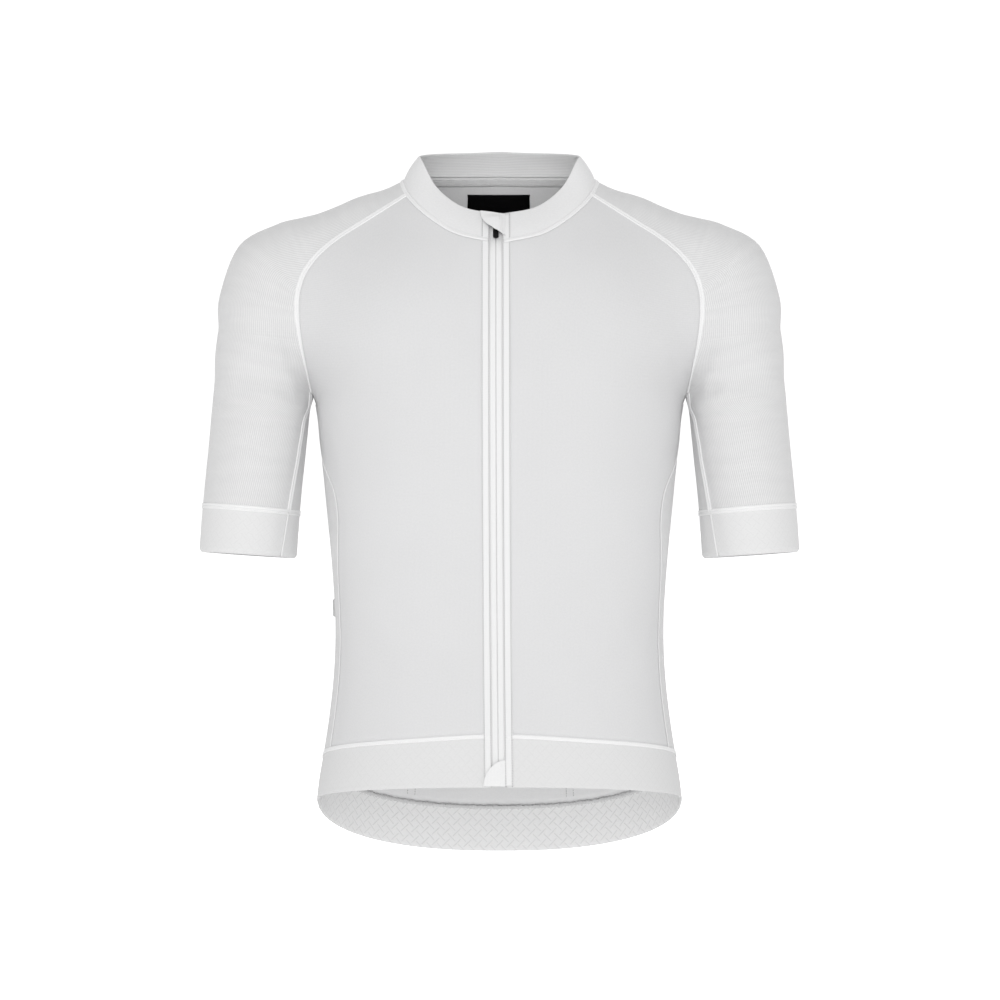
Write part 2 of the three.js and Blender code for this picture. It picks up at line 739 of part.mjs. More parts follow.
// Back panel
function backSheet() {
  const seam = [...SIDE_BACK, ...BACK_SEAM.slice(1)];
  const rows = seam.length - 1;
  const left = seam.map((p) => marked(p));
  const right = seam.map((p) => marked(mirrored(p)));
  const bottom = spread(BACK_COLUMNS, (t, i) => {
    if (i === 0) {
      return left[0];
    }
    return i === BACK_COLUMNS
      ? right[0]
      : marked(hemPoint(lerp(left[0].angle, right[0].angle, t), HEM_BAND));
  });
  const top = spread(BACK_COLUMNS, (t, i) => {
    if (i === 0) {
      return left[rows];
    }
    if (i === BACK_COLUMNS) {
      return right[rows];
    }
    return marked(collarSeam(lerp(BACK_RAGLAN_ANGLE, 360 - BACK_RAGLAN_ANGLE, t)));
  });
  return trunkSheet({ bottom, top, left, right });
}

const back = eased(backSheet(), SIDE_ROWS + 3, 5, EASE_ROUNDS);
addSheet("back", back, { wall: CLOTH_WALL, colour: WHITE_KNIT });

// Sleeves: fans of rays from the sleeve's middle line, open over the shoulder between the two
// raglan seams, closed rings from the armpit down with the sleeve's own seam at their ends
const sleeveSeamTurn = column(SLEEVE_SEAM, "down", "turn");

function stationAt(t) {
  const at = clamp(t, 0, 1) * SLEEVE_STEPS;
  const i = Math.min(Math.floor(at), SLEEVE_STEPS - 1);
  const a = STATIONS[i];
  const b = STATIONS[i + 1];
  return { at: a.at.clone().lerp(b.at, at - i), along: a.along.clone().lerp(b.along, at - i).normalize() };
}

// The share of the line at which it passes a height on its way down the arm
function stationAtHeight(z) {
  const i = STATIONS.findIndex((station) => station.at.z < z);
  const above = STATIONS[i - 1].at.z;
  return (i - 1 + (above - z) / (above - STATIONS[i].at.z)) / SLEEVE_STEPS;
}

function stationNear(z) {
  let best = 0;
  STATIONS.forEach((station, i) => {
    if (Math.abs(station.at.z - z) < Math.abs(STATIONS[best].at.z - z)) {
      best = i;
    }
  });
  return best / SLEEVE_STEPS;
}

// Directions round the sleeve's middle line: "up" is over the shoulder, then forward and back
function frameAt(along) {
  const forward = new THREE.Vector3(0, -1, 0).addScaledVector(along, along.y).normalize();
  const up = forward.clone().cross(along).normalize();
  return { along, forward, up: up.z + up.x > 0 ? up : up.negate() };
}

// Turn (0 over the shoulder, less than nothing to the front) and lean of a direction
function turnAndLean(way, frame) {
  const flat = Math.hypot(way.dot(frame.up), way.dot(frame.forward));
  return {
    turn: Math.atan2(-way.dot(frame.forward), way.dot(frame.up)),
    lean: Math.atan2(way.dot(frame.along), flat),
  };
}

function fanWay(turn, lean, frame) {
  const way = frame.up.clone().multiplyScalar(Math.cos(turn) * Math.cos(lean));
  way.addScaledVector(frame.forward, -Math.sin(turn) * Math.cos(lean));
  return way.addScaledVector(frame.along, Math.sin(lean));
}

const ARMPIT_STATION = stationNear(ARMPIT.z - 2);
const NECK_STATION = 0.05;
const SHOULDER_ROWS_BUNCH = 0.06;

function sleeveGrid() {
  const rows = [];
  const neck = spread(SLEEVE_COLUMNS, (t) => collarSeam(lerp(FRONT_RAGLAN_ANGLE, BACK_RAGLAN_ANGLE, t)));
  const first = stationAt(NECK_STATION);
  const firstFrame = frameAt(first.along);
  const neckFan = neck.map((p) => turnAndLean(p.clone().sub(first.at), firstFrame));
  const a = neckFan[0];
  const b = neckFan[SLEEVE_COLUMNS];
  const neckExtra = neckFan.map((fan, j) => ({
    turn: fan.turn - lerp(a.turn, b.turn, j / SLEEVE_COLUMNS),
    lean: fan.lean - lerp(a.lean, b.lean, j / SLEEVE_COLUMNS),
  }));
  for (let i = 0; i <= RAGLAN_ROWS; i += 1) {
    const t = i / RAGLAN_ROWS;
    const aside = new THREE.Vector3(ARMPIT_EASE * t ** 8, 0, 0);
    const front = FRONT_SEAM[RAGLAN_ROWS - i].clone().add(aside);
    const rear = BACK_SEAM[RAGLAN_ROWS - i].clone().add(aside);
    const along = t + SHOULDER_ROWS_BUNCH * Math.sin(2 * Math.PI * t);
    const station = stationAt(lerp(NECK_STATION, ARMPIT_STATION, along));
    const frame = frameAt(station.along);
    const from = turnAndLean(front.clone().sub(station.at), frame);
    const to = turnAndLean(rear.clone().sub(station.at), frame);
    from.turn = from.turn > 0.5 ? from.turn - 2 * Math.PI : from.turn;
    to.turn = to.turn < -0.5 ? to.turn + 2 * Math.PI : to.turn;
    const fade = (1 - t) ** 2;
    const reach = 1.12 * Math.max(front.distanceTo(station.at), rear.distanceTo(station.at));
    const row = spread(SLEEVE_COLUMNS, (s, j) => {
      if (i === 0) {
        return neck[j];
      }
      const turn = lerp(from.turn, to.turn, s) + neckExtra[j].turn * fade;
      const lean = lerp(from.lean, to.lean, s) + neckExtra[j].lean * fade;
      return meet(station.at, fanWay(turn, lean, frame), reach);
    });
    const offFront = front.clone().sub(row[0]);
    const offRear = rear.clone().sub(row[SLEEVE_COLUMNS]);
    rows.push(row.map((p, j) => {
      const s = j / SLEEVE_COLUMNS;
      return p.clone().addScaledVector(offFront, (1 - s) ** 6).addScaledVector(offRear, s ** 6);
    }));
  }
  return rows;
}

// Closed rings below the armpit; "down" goes from the armpit to the end of the cuff
function sleeveRing(down) {
  const t = lerp(ARMPIT_STATION, CUFF_END_STATION, down);
  const station = stationAt(t);
  const frame = frameAt(station.along);
  const seam = degToRad(sleeveSeamTurn(down));
  return spread(SLEEVE_COLUMNS, (s) => {
    const turn = lerp(-seam, 2 * Math.PI - seam, s);
    return meet(station.at, fanWay(turn, 0, frame), 120, sleeveDistance);
  });
}

const CUFF_END_STATION = stationAtHeight(CUFF_END_Z);
const CUFF_SEAM_STATION = stationAtHeight(CUFF_END_Z + CUFF_BAND);
const CUFF_START = (CUFF_SEAM_STATION - ARMPIT_STATION) / (CUFF_END_STATION - ARMPIT_STATION);

const upperSleeve = sleeveGrid();
const lowerSleeve = spread(LOWER_SLEEVE_ROWS, (t) => sleeveRing(CUFF_START * t ** 1.4)).slice(1);
const sleeve = [...upperSleeve, ...lowerSleeve];
const cuff = spread(BAND_ROWS, (t) => sleeveRing(lerp(CUFF_START, 1, t)));
addSheet("sleeve_left", sleeve, { wall: CLOTH_WALL, colour: WHITE_RIB });
addSheet("sleeve_right", mirroredGrid(sleeve), { wall: CLOTH_WALL, colour: WHITE_RIB });
addSheet("cuff_left", cuff, { wall: ELASTIC_WALL, colour: WHITE_ELASTIC });
addSheet("cuff_right", mirroredGrid(cuff), { wall: ELASTIC_WALL, colour: WHITE_ELASTIC });

// Hem bands
function bandGrid(from, to, columns) {
  return spread(BAND_ROWS, (t) => spread(columns, (s) => hemPoint(lerp(from, to, s), HEM_BAND * (1 - t))));
}

function frontBand(side) {
  const edge = (zipMiddle(ZIP_BOTTOM_Z) + side * (TAPE_SHOWS + 0.6)) * side;
  const start = THREE.MathUtils.radToDeg(Math.atan2(edge, trunkFront(ZIP_BOTTOM_Z)));
  return bandGrid(start, BAND_SEAM_ANGLE, FRONT_COLUMNS + 2);
}

const backBand = bandGrid(BAND_SEAM_ANGLE, 360 - BAND_SEAM_ANGLE, BACK_COLUMNS + 4);
addSheet("hem_front_left", frontBand(1), { wall: ELASTIC_WALL, colour: WHITE_ELASTIC });
addSheet("hem_front_right", mirroredGrid(frontBand(-1)), { wall: ELASTIC_WALL, colour: WHITE_ELASTIC });
addSheet("hem_back", backBand, { wall: ELASTIC_WALL, colour: WHITE_ELASTIC });

// Collar, from one side of the zip round the back to the other
function collarGrid() {
  const edge = (side) => {
    const x = zipMiddle(ZIP_SEAM_Z) + side * (TAPE_SHOWS + 0.6);
    return THREE.MathUtils.radToDeg(Math.asin(x / NECK_SEAM_PLAN.half));
  };
  return spread(4, (t) => spread(COLLAR_COLUMNS, (s) => collarAt(lerp(edge(1), 360 + edge(-1), s), t)));
}

const collar = collarGrid();
const collarNormals = gridNormals(collar, (p) => p.clone().sub(new THREE.Vector3(0, NECK_MIDDLE_Y, p.z)));
addSheet("collar", collar, { wall: COLLAR_WALL, colour: WHITE_ELASTIC, normals: collarNormals });

// Zip: tapes behind the edges of the cloth, coil behind the tapes, facings over the edges
function zipStrip(from, to, bottom, top) {
  return spread(ZIP_ROWS, (t) => spread(1, (s) => zipPoint(lerp(from, to, s), lerp(bottom, top, t))));
}

function addStrip(name, from, to, { wall, lift, colour, bottom, top }) {
  const grid = zipStrip(from, to, bottom, top);
  const normals = gridNormals(grid, fromAxis);
  addSheet(name, grid, { wall, lift, colour, normals, inset: 0 });
}

const STRIP_LOW = ZIP_BOTTOM_Z + 0.6;
const STRIP_HIGH = ZIP_TOP_Z - 0.6;
[["left", 1], ["right", -1]].forEach(([name, side]) => {
  addStrip(`zip_tape_${name}`, side * 0.2, side * TAPE_WIDTH, {
    wall: TAPE_WALL, lift: TAPE_DROP - 0.6, colour: WHITE_TAPE, bottom: STRIP_LOW + 1, top: STRIP_HIGH - 1,
  });
  addStrip(`facing_${name}`, side * (TAPE_SHOWS + 0.1), side * (TAPE_SHOWS + FACING_WIDTH), {
    wall: FACING_WALL, lift: FACING_LIFT, colour: WHITE_TAPE, bottom: STRIP_LOW, top: STRIP_HIGH,
  });
});
addStrip("zip_coil", -COIL_HALF, COIL_HALF, {
  wall: COIL_WALL, lift: TAPE_DROP - 0.6 - TAPE_WALL - 0.7, colour: WHITE_PLASTIC,
  bottom: STRIP_LOW + 12, top: STRIP_HIGH - 8,
});

// Flaps over the zip's ends
function flapGrid(table, columns) {
  const free = column(table, "z", "x");
  const top = table[0].z;
  const bottom = table[table.length - 1].z;
  return spread(FLAP_ROWS, (t) => {
    const z = lerp(top, bottom, t);
    return spread(columns, (s) => frontAt(lerp(FLAP_ROOT_X, free(z), s), z));
  });
}

function addFlap(name, table, lifts) {
  const grid = flapGrid(table, FLAP_COLUMNS);
  const normals = gridNormals(grid, fromAxis);
  const lift = (i, j) => {
    const s = (FLAP_ROOT_X - grid[i][j].x) / (FLAP_ROOT_X + 17.4);
    const rise = clamp(s / 0.14, 0, 1);
    const fall = clamp((s - 0.5) / 0.5, 0, 1);
    const up = lerp(lifts.root, lifts.middle, rise * rise * (3 - 2 * rise));
    return lerp(up, lifts.free, fall * fall * (3 - 2 * fall)) + FLAP_WALL;
  };
  addSheet(name, grid, { wall: FLAP_WALL, lift, colour: WHITE_TAPE, normals, inset: 0 });
}

addFlap("garage_flap", GARAGE_FLAP, GARAGE_LIFT);
addFlap("hem_flap", HEM_FLAP, HEM_FLAP_LIFT);

// Pockets on the outside of the back
const BAND_TOP_LIFT = 3;
POCKETS.forEach(({ name, from, to, top }) => {
  const middle = (from + to) / 2;
  const grid = spread(8, (t) => spread(8, (s) => {
    const angle = lerp(from, to, s);
    const low = hemPoint(angle, HEM_BAND + BAND_TOP_LIFT);
    const dip = 6 * (1 - ((angle - middle) / (to - middle)) ** 2);
    const z = lerp(low.z, top - dip, t);
    return trunkPoint(angle, z);
  }));
  const lift = (i, j) => {
    const open = Math.sin(Math.PI * j / 8) * clamp((i - 4) / 4, 0, 1) ** 2;
    return POCKET_LIFT + POCKET_WALL + POCKET_GAPE * open;
  };
  addSheet(name, grid, { wall: POCKET_WALL, lift, colour: WHITE_KNIT, inset: 0.2 });
});

// Neck tape and label inside the back, placed on the back panel's own grid
const INSIDE_DROP = -CLOTH_WALL - 0.35;

function gridAt(grid, u, v) {
  const row = clamp(v, 0, 1) * (grid.length - 1);
  const col = clamp(u, 0, 1) * (grid[0].length - 1);
  const i = Math.min(Math.floor(row), grid.length - 2);
  const j = Math.min(Math.floor(col), grid[0].length - 2);
  const low = grid[i][j].clone().lerp(grid[i][j + 1], col - j);
  const high = grid[i + 1][j].clone().lerp(grid[i + 1][j + 1], col - j);
  return low.lerp(high, row - i);
}

// The share between 0 and 1 at which a rising value passes nothing
function passing(value) {
  let low = 0;
  let high = 1;
  for (let i = 0; i < 22; i += 1) {
    const middle = (low + high) / 2;
    if (value(middle) < 0) {
      low = middle;
    } else {
      high = middle;
    }
  }
  return low;
}

function onBackAtHeight(u, z) {
  return gridAt(back, u, passing((v) => gridAt(back, u, v).z - z));
}

function onBack(x, z) {
  return onBackAtHeight(passing((u) => x - onBackAtHeight(u, z).x), z);
}

const neckTape = spread(2, (t) => spread(24, (s) => {
  const u = lerp(NECK_TAPE.from, NECK_TAPE.to, s);
  return onBackAtHeight(u, gridAt(back, u, 1).z - 0.8 - NECK_TAPE.drop * t);
}));
addSheet("neck_tape", neckTape, { wall: NECK_TAPE.wall, lift: INSIDE_DROP, colour: WHITE_TAPE, inset: 0 });

const neckLabel = spread(4, (t) => spread(8, (s) => {
  const x = lerp(0.5, -0.5, s) * NECK_LABEL.width;
  return onBack(x, lerp(NECK_LABEL.top, NECK_LABEL.bottom, t));
}));
addSheet("neck_label", neckLabel, { wall: NECK_LABEL.wall, lift: INSIDE_DROP, colour: BLACK, inset: 0 });

// Folded tab standing out of the wearer's right side
const tabFoot = mirrored(sidePoint(SIDE_TAB.y, SIDE_TAB.z));
const tabShape = new THREE.Shape();
tabShape.moveTo(0, -SIDE_TAB.height / 2);
tabShape.lineTo(-SIDE_TAB.reach, -SIDE_TAB.height / 2 + 1);
tabShape.lineTo(-SIDE_TAB.reach, SIDE_TAB.height / 2 - 1);
tabShape.lineTo(0, SIDE_TAB.height / 2);
tabShape.closePath();
const tab = new THREE.ExtrudeGeometry(tabShape, { depth: SIDE_TAB.thick, bevelEnabled: false });
tab.rotateX(Math.PI / 2);
tab.translate(tabFoot.x - SIDE_TAB.gap, tabFoot.y + SIDE_TAB.thick / 2, tabFoot.z);
addPiece("side_tab", tab, WHITE_TAPE);

// Slider over the top of the zip with two ears for the pull tab's pin. They are drawn upright in
// front of the zip, outwards to -Y, and laid back to the zip's slope there.
const SLIDER_FOOT = zipPoint(0, SLIDER.z);
const ABOVE_SLIDER = zipPoint(0, SLIDER.z + 4);
const BELOW_SLIDER = zipPoint(0, SLIDER.z - 4);
const ZIP_SLOPE = Math.atan2(ABOVE_SLIDER.y - BELOW_SLIDER.y, ABOVE_SLIDER.z - BELOW_SLIDER.z);

function laidOnZip(geometry) {
  geometry.rotateX(-ZIP_SLOPE);
  geometry.translate(SLIDER_FOOT.x, SLIDER_FOOT.y, SLIDER_FOOT.z);
  return geometry;
}

// A flat plate facing the front, given by its outline from the front, from "back" out to "front"
function frontPlate(shape, back, front) {
  const options = { depth: front - back, bevelEnabled: false, curveSegments: 5 };
  const plate = new THREE.ExtrudeGeometry(shape, options);
  plate.rotateX(Math.PI / 2);
  plate.translate(0, -back, 0);
  return plate;
}

function roundedOutline(width, height, corner) {
  const a = width / 2 - corner;
  const b = height / 2 - corner;
  const shape = new THREE.Shape();
  shape.absarc(a, b, corner, 0, Math.PI / 2, false);
  shape.absarc(-a, b, corner, Math.PI / 2, Math.PI, false);
  shape.absarc(-a, -b, corner, Math.PI, Math.PI * 1.5, false);
  shape.absarc(a, -b, corner, Math.PI * 1.5, Math.PI * 2, false);
  return shape;
}

const { Manifold, Mesh } = await Module().then((loaded) => {
  loaded.setup();
  return loaded;
});

function solidOf(geometry) {
  const bare = geometry.clone();
  bare.deleteAttribute("normal");
  bare.deleteAttribute("uv");
  const joined = mergeVertices(bare, 1e-4);
  return new Manifold(new Mesh({
    numProp: 3,
    vertProperties: new Float32Array(joined.getAttribute("position").array),
    triVerts: new Uint32Array(joined.getIndex().array),
  }));
}

function geometryOf(solid) {
  const mesh = solid.getMesh();
  const geometry = new THREE.BufferGeometry();
  geometry.setAttribute("position", new THREE.Float32BufferAttribute(mesh.vertProperties, 3));
  geometry.setIndex(Array.from(mesh.triVerts));
  geometry.computeVertexNormals();
  return geometry;
}

function rod(radius, length, up, out) {
  const cylinder = new THREE.CylinderGeometry(radius, radius, length, 16);
  cylinder.rotateZ(Math.PI / 2);
  cylinder.translate(0, -out, up);
  return cylinder;
}

const sliderFront = SLIDER.back + SLIDER.thick;
const ears = [-1, 1].map((side) => {
  const x = side * (EAR.inner + EAR.thick / 2);
  const ear = new THREE.BoxGeometry(EAR.thick, EAR.high + 0.5, EAR.half * 2);
  ear.translate(x, -(sliderFront + EAR.high / 2 - 0.25), HINGE.up);
  return solidOf(ear);
});
const sliderBody = solidOf(frontPlate(
  roundedOutline(SLIDER.width, SLIDER.height, SLIDER.corner),
  SLIDER.back,
  sliderFront,
));
const sliderSolid = sliderBody.add(ears[0]).add(ears[1]).subtract(
  solidOf(rod(EAR.hole, 12, HINGE.up, HINGE.out)),
);
addPiece("zip_slider", laidOnZip(geometryOf(sliderSolid)), WHITE_PLASTIC, 0.4);

// Pull tab: a barrel and pin between the ears, a neck and a wider rounded end
const pullOutline = new THREE.Shape();
const endTop = -PULL.neck_length;
const endFoot = -PULL.length;
pullOutline.moveTo(PULL.neck / 2, 0);
pullOutline.lineTo(-PULL.neck / 2, 0);
pullOutline.lineTo(-PULL.neck / 2, endTop);
pullOutline.lineTo(-PULL.width / 2, endTop - 1.6);
pullOutline.lineTo(-PULL.width / 2, endFoot + PULL.corner);
pullOutline.absarc(
  -PULL.width / 2 + PULL.corner, endFoot + PULL.corner, PULL.corner, Math.PI, Math.PI * 1.5, false,
);
pullOutline.absarc(
  PULL.width / 2 - PULL.corner, endFoot + PULL.corner, PULL.corner, Math.PI * 1.5, Math.PI * 2, false,
);
pullOutline.lineTo(PULL.width / 2, endTop - 1.6);
pullOutline.lineTo(PULL.neck / 2, endTop);
pullOutline.closePath();
const pullPlate = frontPlate(pullOutline, HINGE.out - PULL.thick / 2, HINGE.out + PULL.thick / 2);
pullPlate.translate(0, 0, HINGE.up);
const pullSolid = solidOf(pullPlate)
  .add(solidOf(rod(HINGE.barrel, EAR.inner * 2 - 0.6, HINGE.up, HINGE.out)))
  .add(solidOf(rod(HINGE.pin, HINGE.pin_length, HINGE.up, HINGE.out)));
addPiece("zip_pull", laidOnZip(geometryOf(pullSolid)), BLACK, 0.5);

export default jersey;
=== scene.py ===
"""Looks of the cycling jersey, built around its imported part.

Millimetres in the pattern, metres in the scene. +X is the wearer's left, -Y the front, +Z up. Every
cloth piece is a thin shell on the same skin as its solid: a trunk, two sleeves and a neck.
"""

import sys
import logging
import math
from dataclasses import dataclass
from enum import Enum
from typing import Callable, Iterable, NamedTuple, Sequence

import bmesh
import bpy
import numpy as np
from mathutils import Matrix, Vector
from numpy.typing import NDArray


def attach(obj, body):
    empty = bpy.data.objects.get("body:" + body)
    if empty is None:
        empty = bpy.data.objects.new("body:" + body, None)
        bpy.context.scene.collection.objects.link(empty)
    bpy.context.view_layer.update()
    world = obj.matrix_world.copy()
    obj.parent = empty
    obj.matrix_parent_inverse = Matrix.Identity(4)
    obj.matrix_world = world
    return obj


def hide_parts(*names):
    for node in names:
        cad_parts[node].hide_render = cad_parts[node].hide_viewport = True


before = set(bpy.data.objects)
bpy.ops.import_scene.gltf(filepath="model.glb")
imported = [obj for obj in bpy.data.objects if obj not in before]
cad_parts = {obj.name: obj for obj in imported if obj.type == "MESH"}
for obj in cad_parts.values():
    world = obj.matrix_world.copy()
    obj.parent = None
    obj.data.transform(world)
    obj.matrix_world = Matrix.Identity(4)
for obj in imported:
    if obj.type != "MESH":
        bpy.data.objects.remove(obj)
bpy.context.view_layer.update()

Points = NDArray[np.float64]
Marks = NDArray[np.bool_]
Value = float | Points
Faces = list[list[int]]
Pair = tuple[float, float]
Triple = tuple[float, float, float]
Table = Sequence[Sequence[float]]
Material = bpy.types.Material
Thing = bpy.types.Object
log = logging.getLogger("jersey")


class TrunkRow(NamedTuple):
    """A horizontal section of the trunk."""

    z: float
    half: float
    front: float
    back: float
    square: float


class SleeveRow(NamedTuple):
    """A place on the sleeve's middle line with its radius and depth share."""

    x: float
    y: float
    z: float
    radius: float
    deep: float


class CollarRow(NamedTuple):
    """Heights of the collar's seam and top edge at an angle from centre front."""

    angle: float
    seam: float
    top: float


class Oval(NamedTuple):
    """Half widths of an oval seen from above."""

    half: float
    front: float
    back: float


TRUNK = (
    TrunkRow(-650, 174, 116, 120, 2.3),
    TrunkRow(-561, 171.5, 113, 115, 2.3),
    TrunkRow(-500, 162, 108, 104, 2.3),
    TrunkRow(-450, 156, 105, 96, 2.3),
    TrunkRow(-400, 154, 105, 93, 2.3),
    TrunkRow(-340, 157.5, 111, 98, 2.3),
    TrunkRow(-270, 164, 118, 107, 2.3),
    TrunkRow(-200, 171.5, 121, 115, 2.35),
    TrunkRow(-150, 178, 119, 117, 2.45),
    TrunkRow(-100, 178, 110, 114, 2.45),
    TrunkRow(-60, 158, 94, 103, 2.35),
    TrunkRow(-20, 108, 72, 86, 2.2),
    TrunkRow(20, 70, 50, 64, 2.0),
    TrunkRow(70, 40, 30, 40, 2.0),
)
SLEEVE = (
    SleeveRow(50, 8, -34, 48, 1.0),
    SleeveRow(105, 9, -43, 53, 1.0),
    SleeveRow(150, 10, -58, 50.5, 1.05),
    SleeveRow(184, 10, -67, 50.3, 1.08),
    SleeveRow(208, 8, -79, 52.3, 1.1),
    SleeveRow(213, 6, -114, 50.5, 1.14),
    SleeveRow(218.8, 4, -150, 48.2, 1.16),
    SleeveRow(223.5, 3, -188, 45.9, 1.17),
    SleeveRow(227.8, 1, -235, 45.6, 1.17),
    SleeveRow(232.5, 0, -282, 45.5, 1.17),
    SleeveRow(237, -2, -345, 46, 1.17),
)
COLLAR = (
    CollarRow(0, -45, -19),
    CollarRow(25, -36, -12.5),
    CollarRow(42, -22, 0),
    CollarRow(55, -10, 13.5),
    CollarRow(66, 0, 28),
    CollarRow(78, 10, 37.5),
    CollarRow(92, 18, 41),
    CollarRow(130, 26, 47.5),
    CollarRow(180, 29, 52),
)
FRONT_RAGLAN = (
    (118, -17.5), (140, -31.5), (159.5, -44.5), (175.5, -62), (184.5, -80),
    (187.5, -100), (186.5, -125), (184.5, -145), (183, -163),
)
BACK_RAGLAN = ((100, 3), (128, -24), (152, -54), (170, -88), (180, -122), (182, -152))
SIDE_FRONT = (
    (-530, -38), (-450, -38), (-370, -38), (-325, -46), (-293, -53),
    (-272, -51), (-255, -39), (-237, -10), (-215, 7), (-190, 4),
)
SIDE_BACK = (
    (-530, 46), (-370, 44), (-325, 46), (-287, 48),
    (-262, 43), (-237, 33), (-212, 20), (-190, 4),
)
SLEEVE_SEAM = ((0, 180), (0.12, 158), (0.45, 148), (0.75, 141), (1, 133))
GARAGE_FLAP = (
    (-20.5, -17.4), (-25, -16.9), (-29, -15.2), (-33, -11.8),
    (-36.5, -7), (-39.2, -1.2), (-40.4, 1.8), (-41.2, 5.2),
)
HEM_FLAP = (
    (-516.6, 5.2), (-517.5, 1.5), (-519.4, -2.6), (-523, -7.2),
    (-527, -10.4), (-531, -12.6), (-536, -14), (-540.2, -14.5),
)


def bridged(a: Value, b: Value, leaving: Value, arriving: Value, t: Value) -> Value:
    """The value on the smooth cubic between two values.

    Args:
        a: The first value.
        b: The second value.
        leaving: The slope at the first.
        arriving: The slope at the second.
        t: The share of the way.

    Returns:
        The value there.
    """
    t2, t3 = t * t, t * t * t
    start, end = (2 * t3 - 3 * t2 + 1) * a, (3 * t2 - 2 * t3) * b
    return start + (t3 - 2 * t2 + t) * leaving + end + (t3 - t2) * arriving


def column(table: Table, key: int = 0, value: int = 1) -> Callable[[Value], Value]:
    """A smooth curve through one column of a table.

    Args:
        table: Rows of numbers, in order of the key.
        key: Place of the key in a row.
        value: Place of the value in a row.

    Returns:
        A function from a key to a value, level beyond the table's ends.
    """
    keys = np.array([row[key] for row in table], float)
    values = np.array([row[value] for row in table], float)
    if keys[0] > keys[-1]:
        keys, values = keys[::-1], values[::-1]
    slopes = np.empty_like(values)
    slopes[1:-1] = (values[2:] - values[:-2]) / (keys[2:] - keys[:-2])
    slopes[0] = (values[1] - values[0]) / (keys[1] - keys[0])
    slopes[-1] = (values[-1] - values[-2]) / (keys[-1] - keys[-2])

    def curve(at: Value) -> Value:
        """The value at a key.

        Args:
            at: The key, or many.

        Returns:
            The value, or many.
        """
        inside = np.clip(at, keys[0], keys[-1])
        i = np.clip(np.searchsorted(keys, inside, side="right") - 1, 0, len(keys) - 2)
        span = keys[i + 1] - keys[i]
        share = (inside - keys[i]) / span
        return bridged(values[i], values[i + 1], span * slopes[i], span * slopes[i + 1], share)

    return curve


def paired(a: Value, b: Value) -> list[Points]:
    """Two values or rows of values as rows of one length."""
    return list(np.broadcast_arrays(np.asarray(a, float), np.asarray(b, float)))


def run_lengths(line: Points) -> Points:
    """How far each point is along a line of points."""
    return np.concatenate([[0], np.cumsum(np.linalg.norm(np.diff(line, axis=0), axis=1))])


def unit(vectors: Points) -> Points:
    """Vectors of length one along the last axis."""
    return vectors / np.maximum(np.linalg.norm(vectors, axis=-1, keepdims=True), 1e-9)


def mix(a: Value, b: Value, t: Value) -> Value:
    """The value a share t of the way from a to b."""
    return a + (b - a) * t


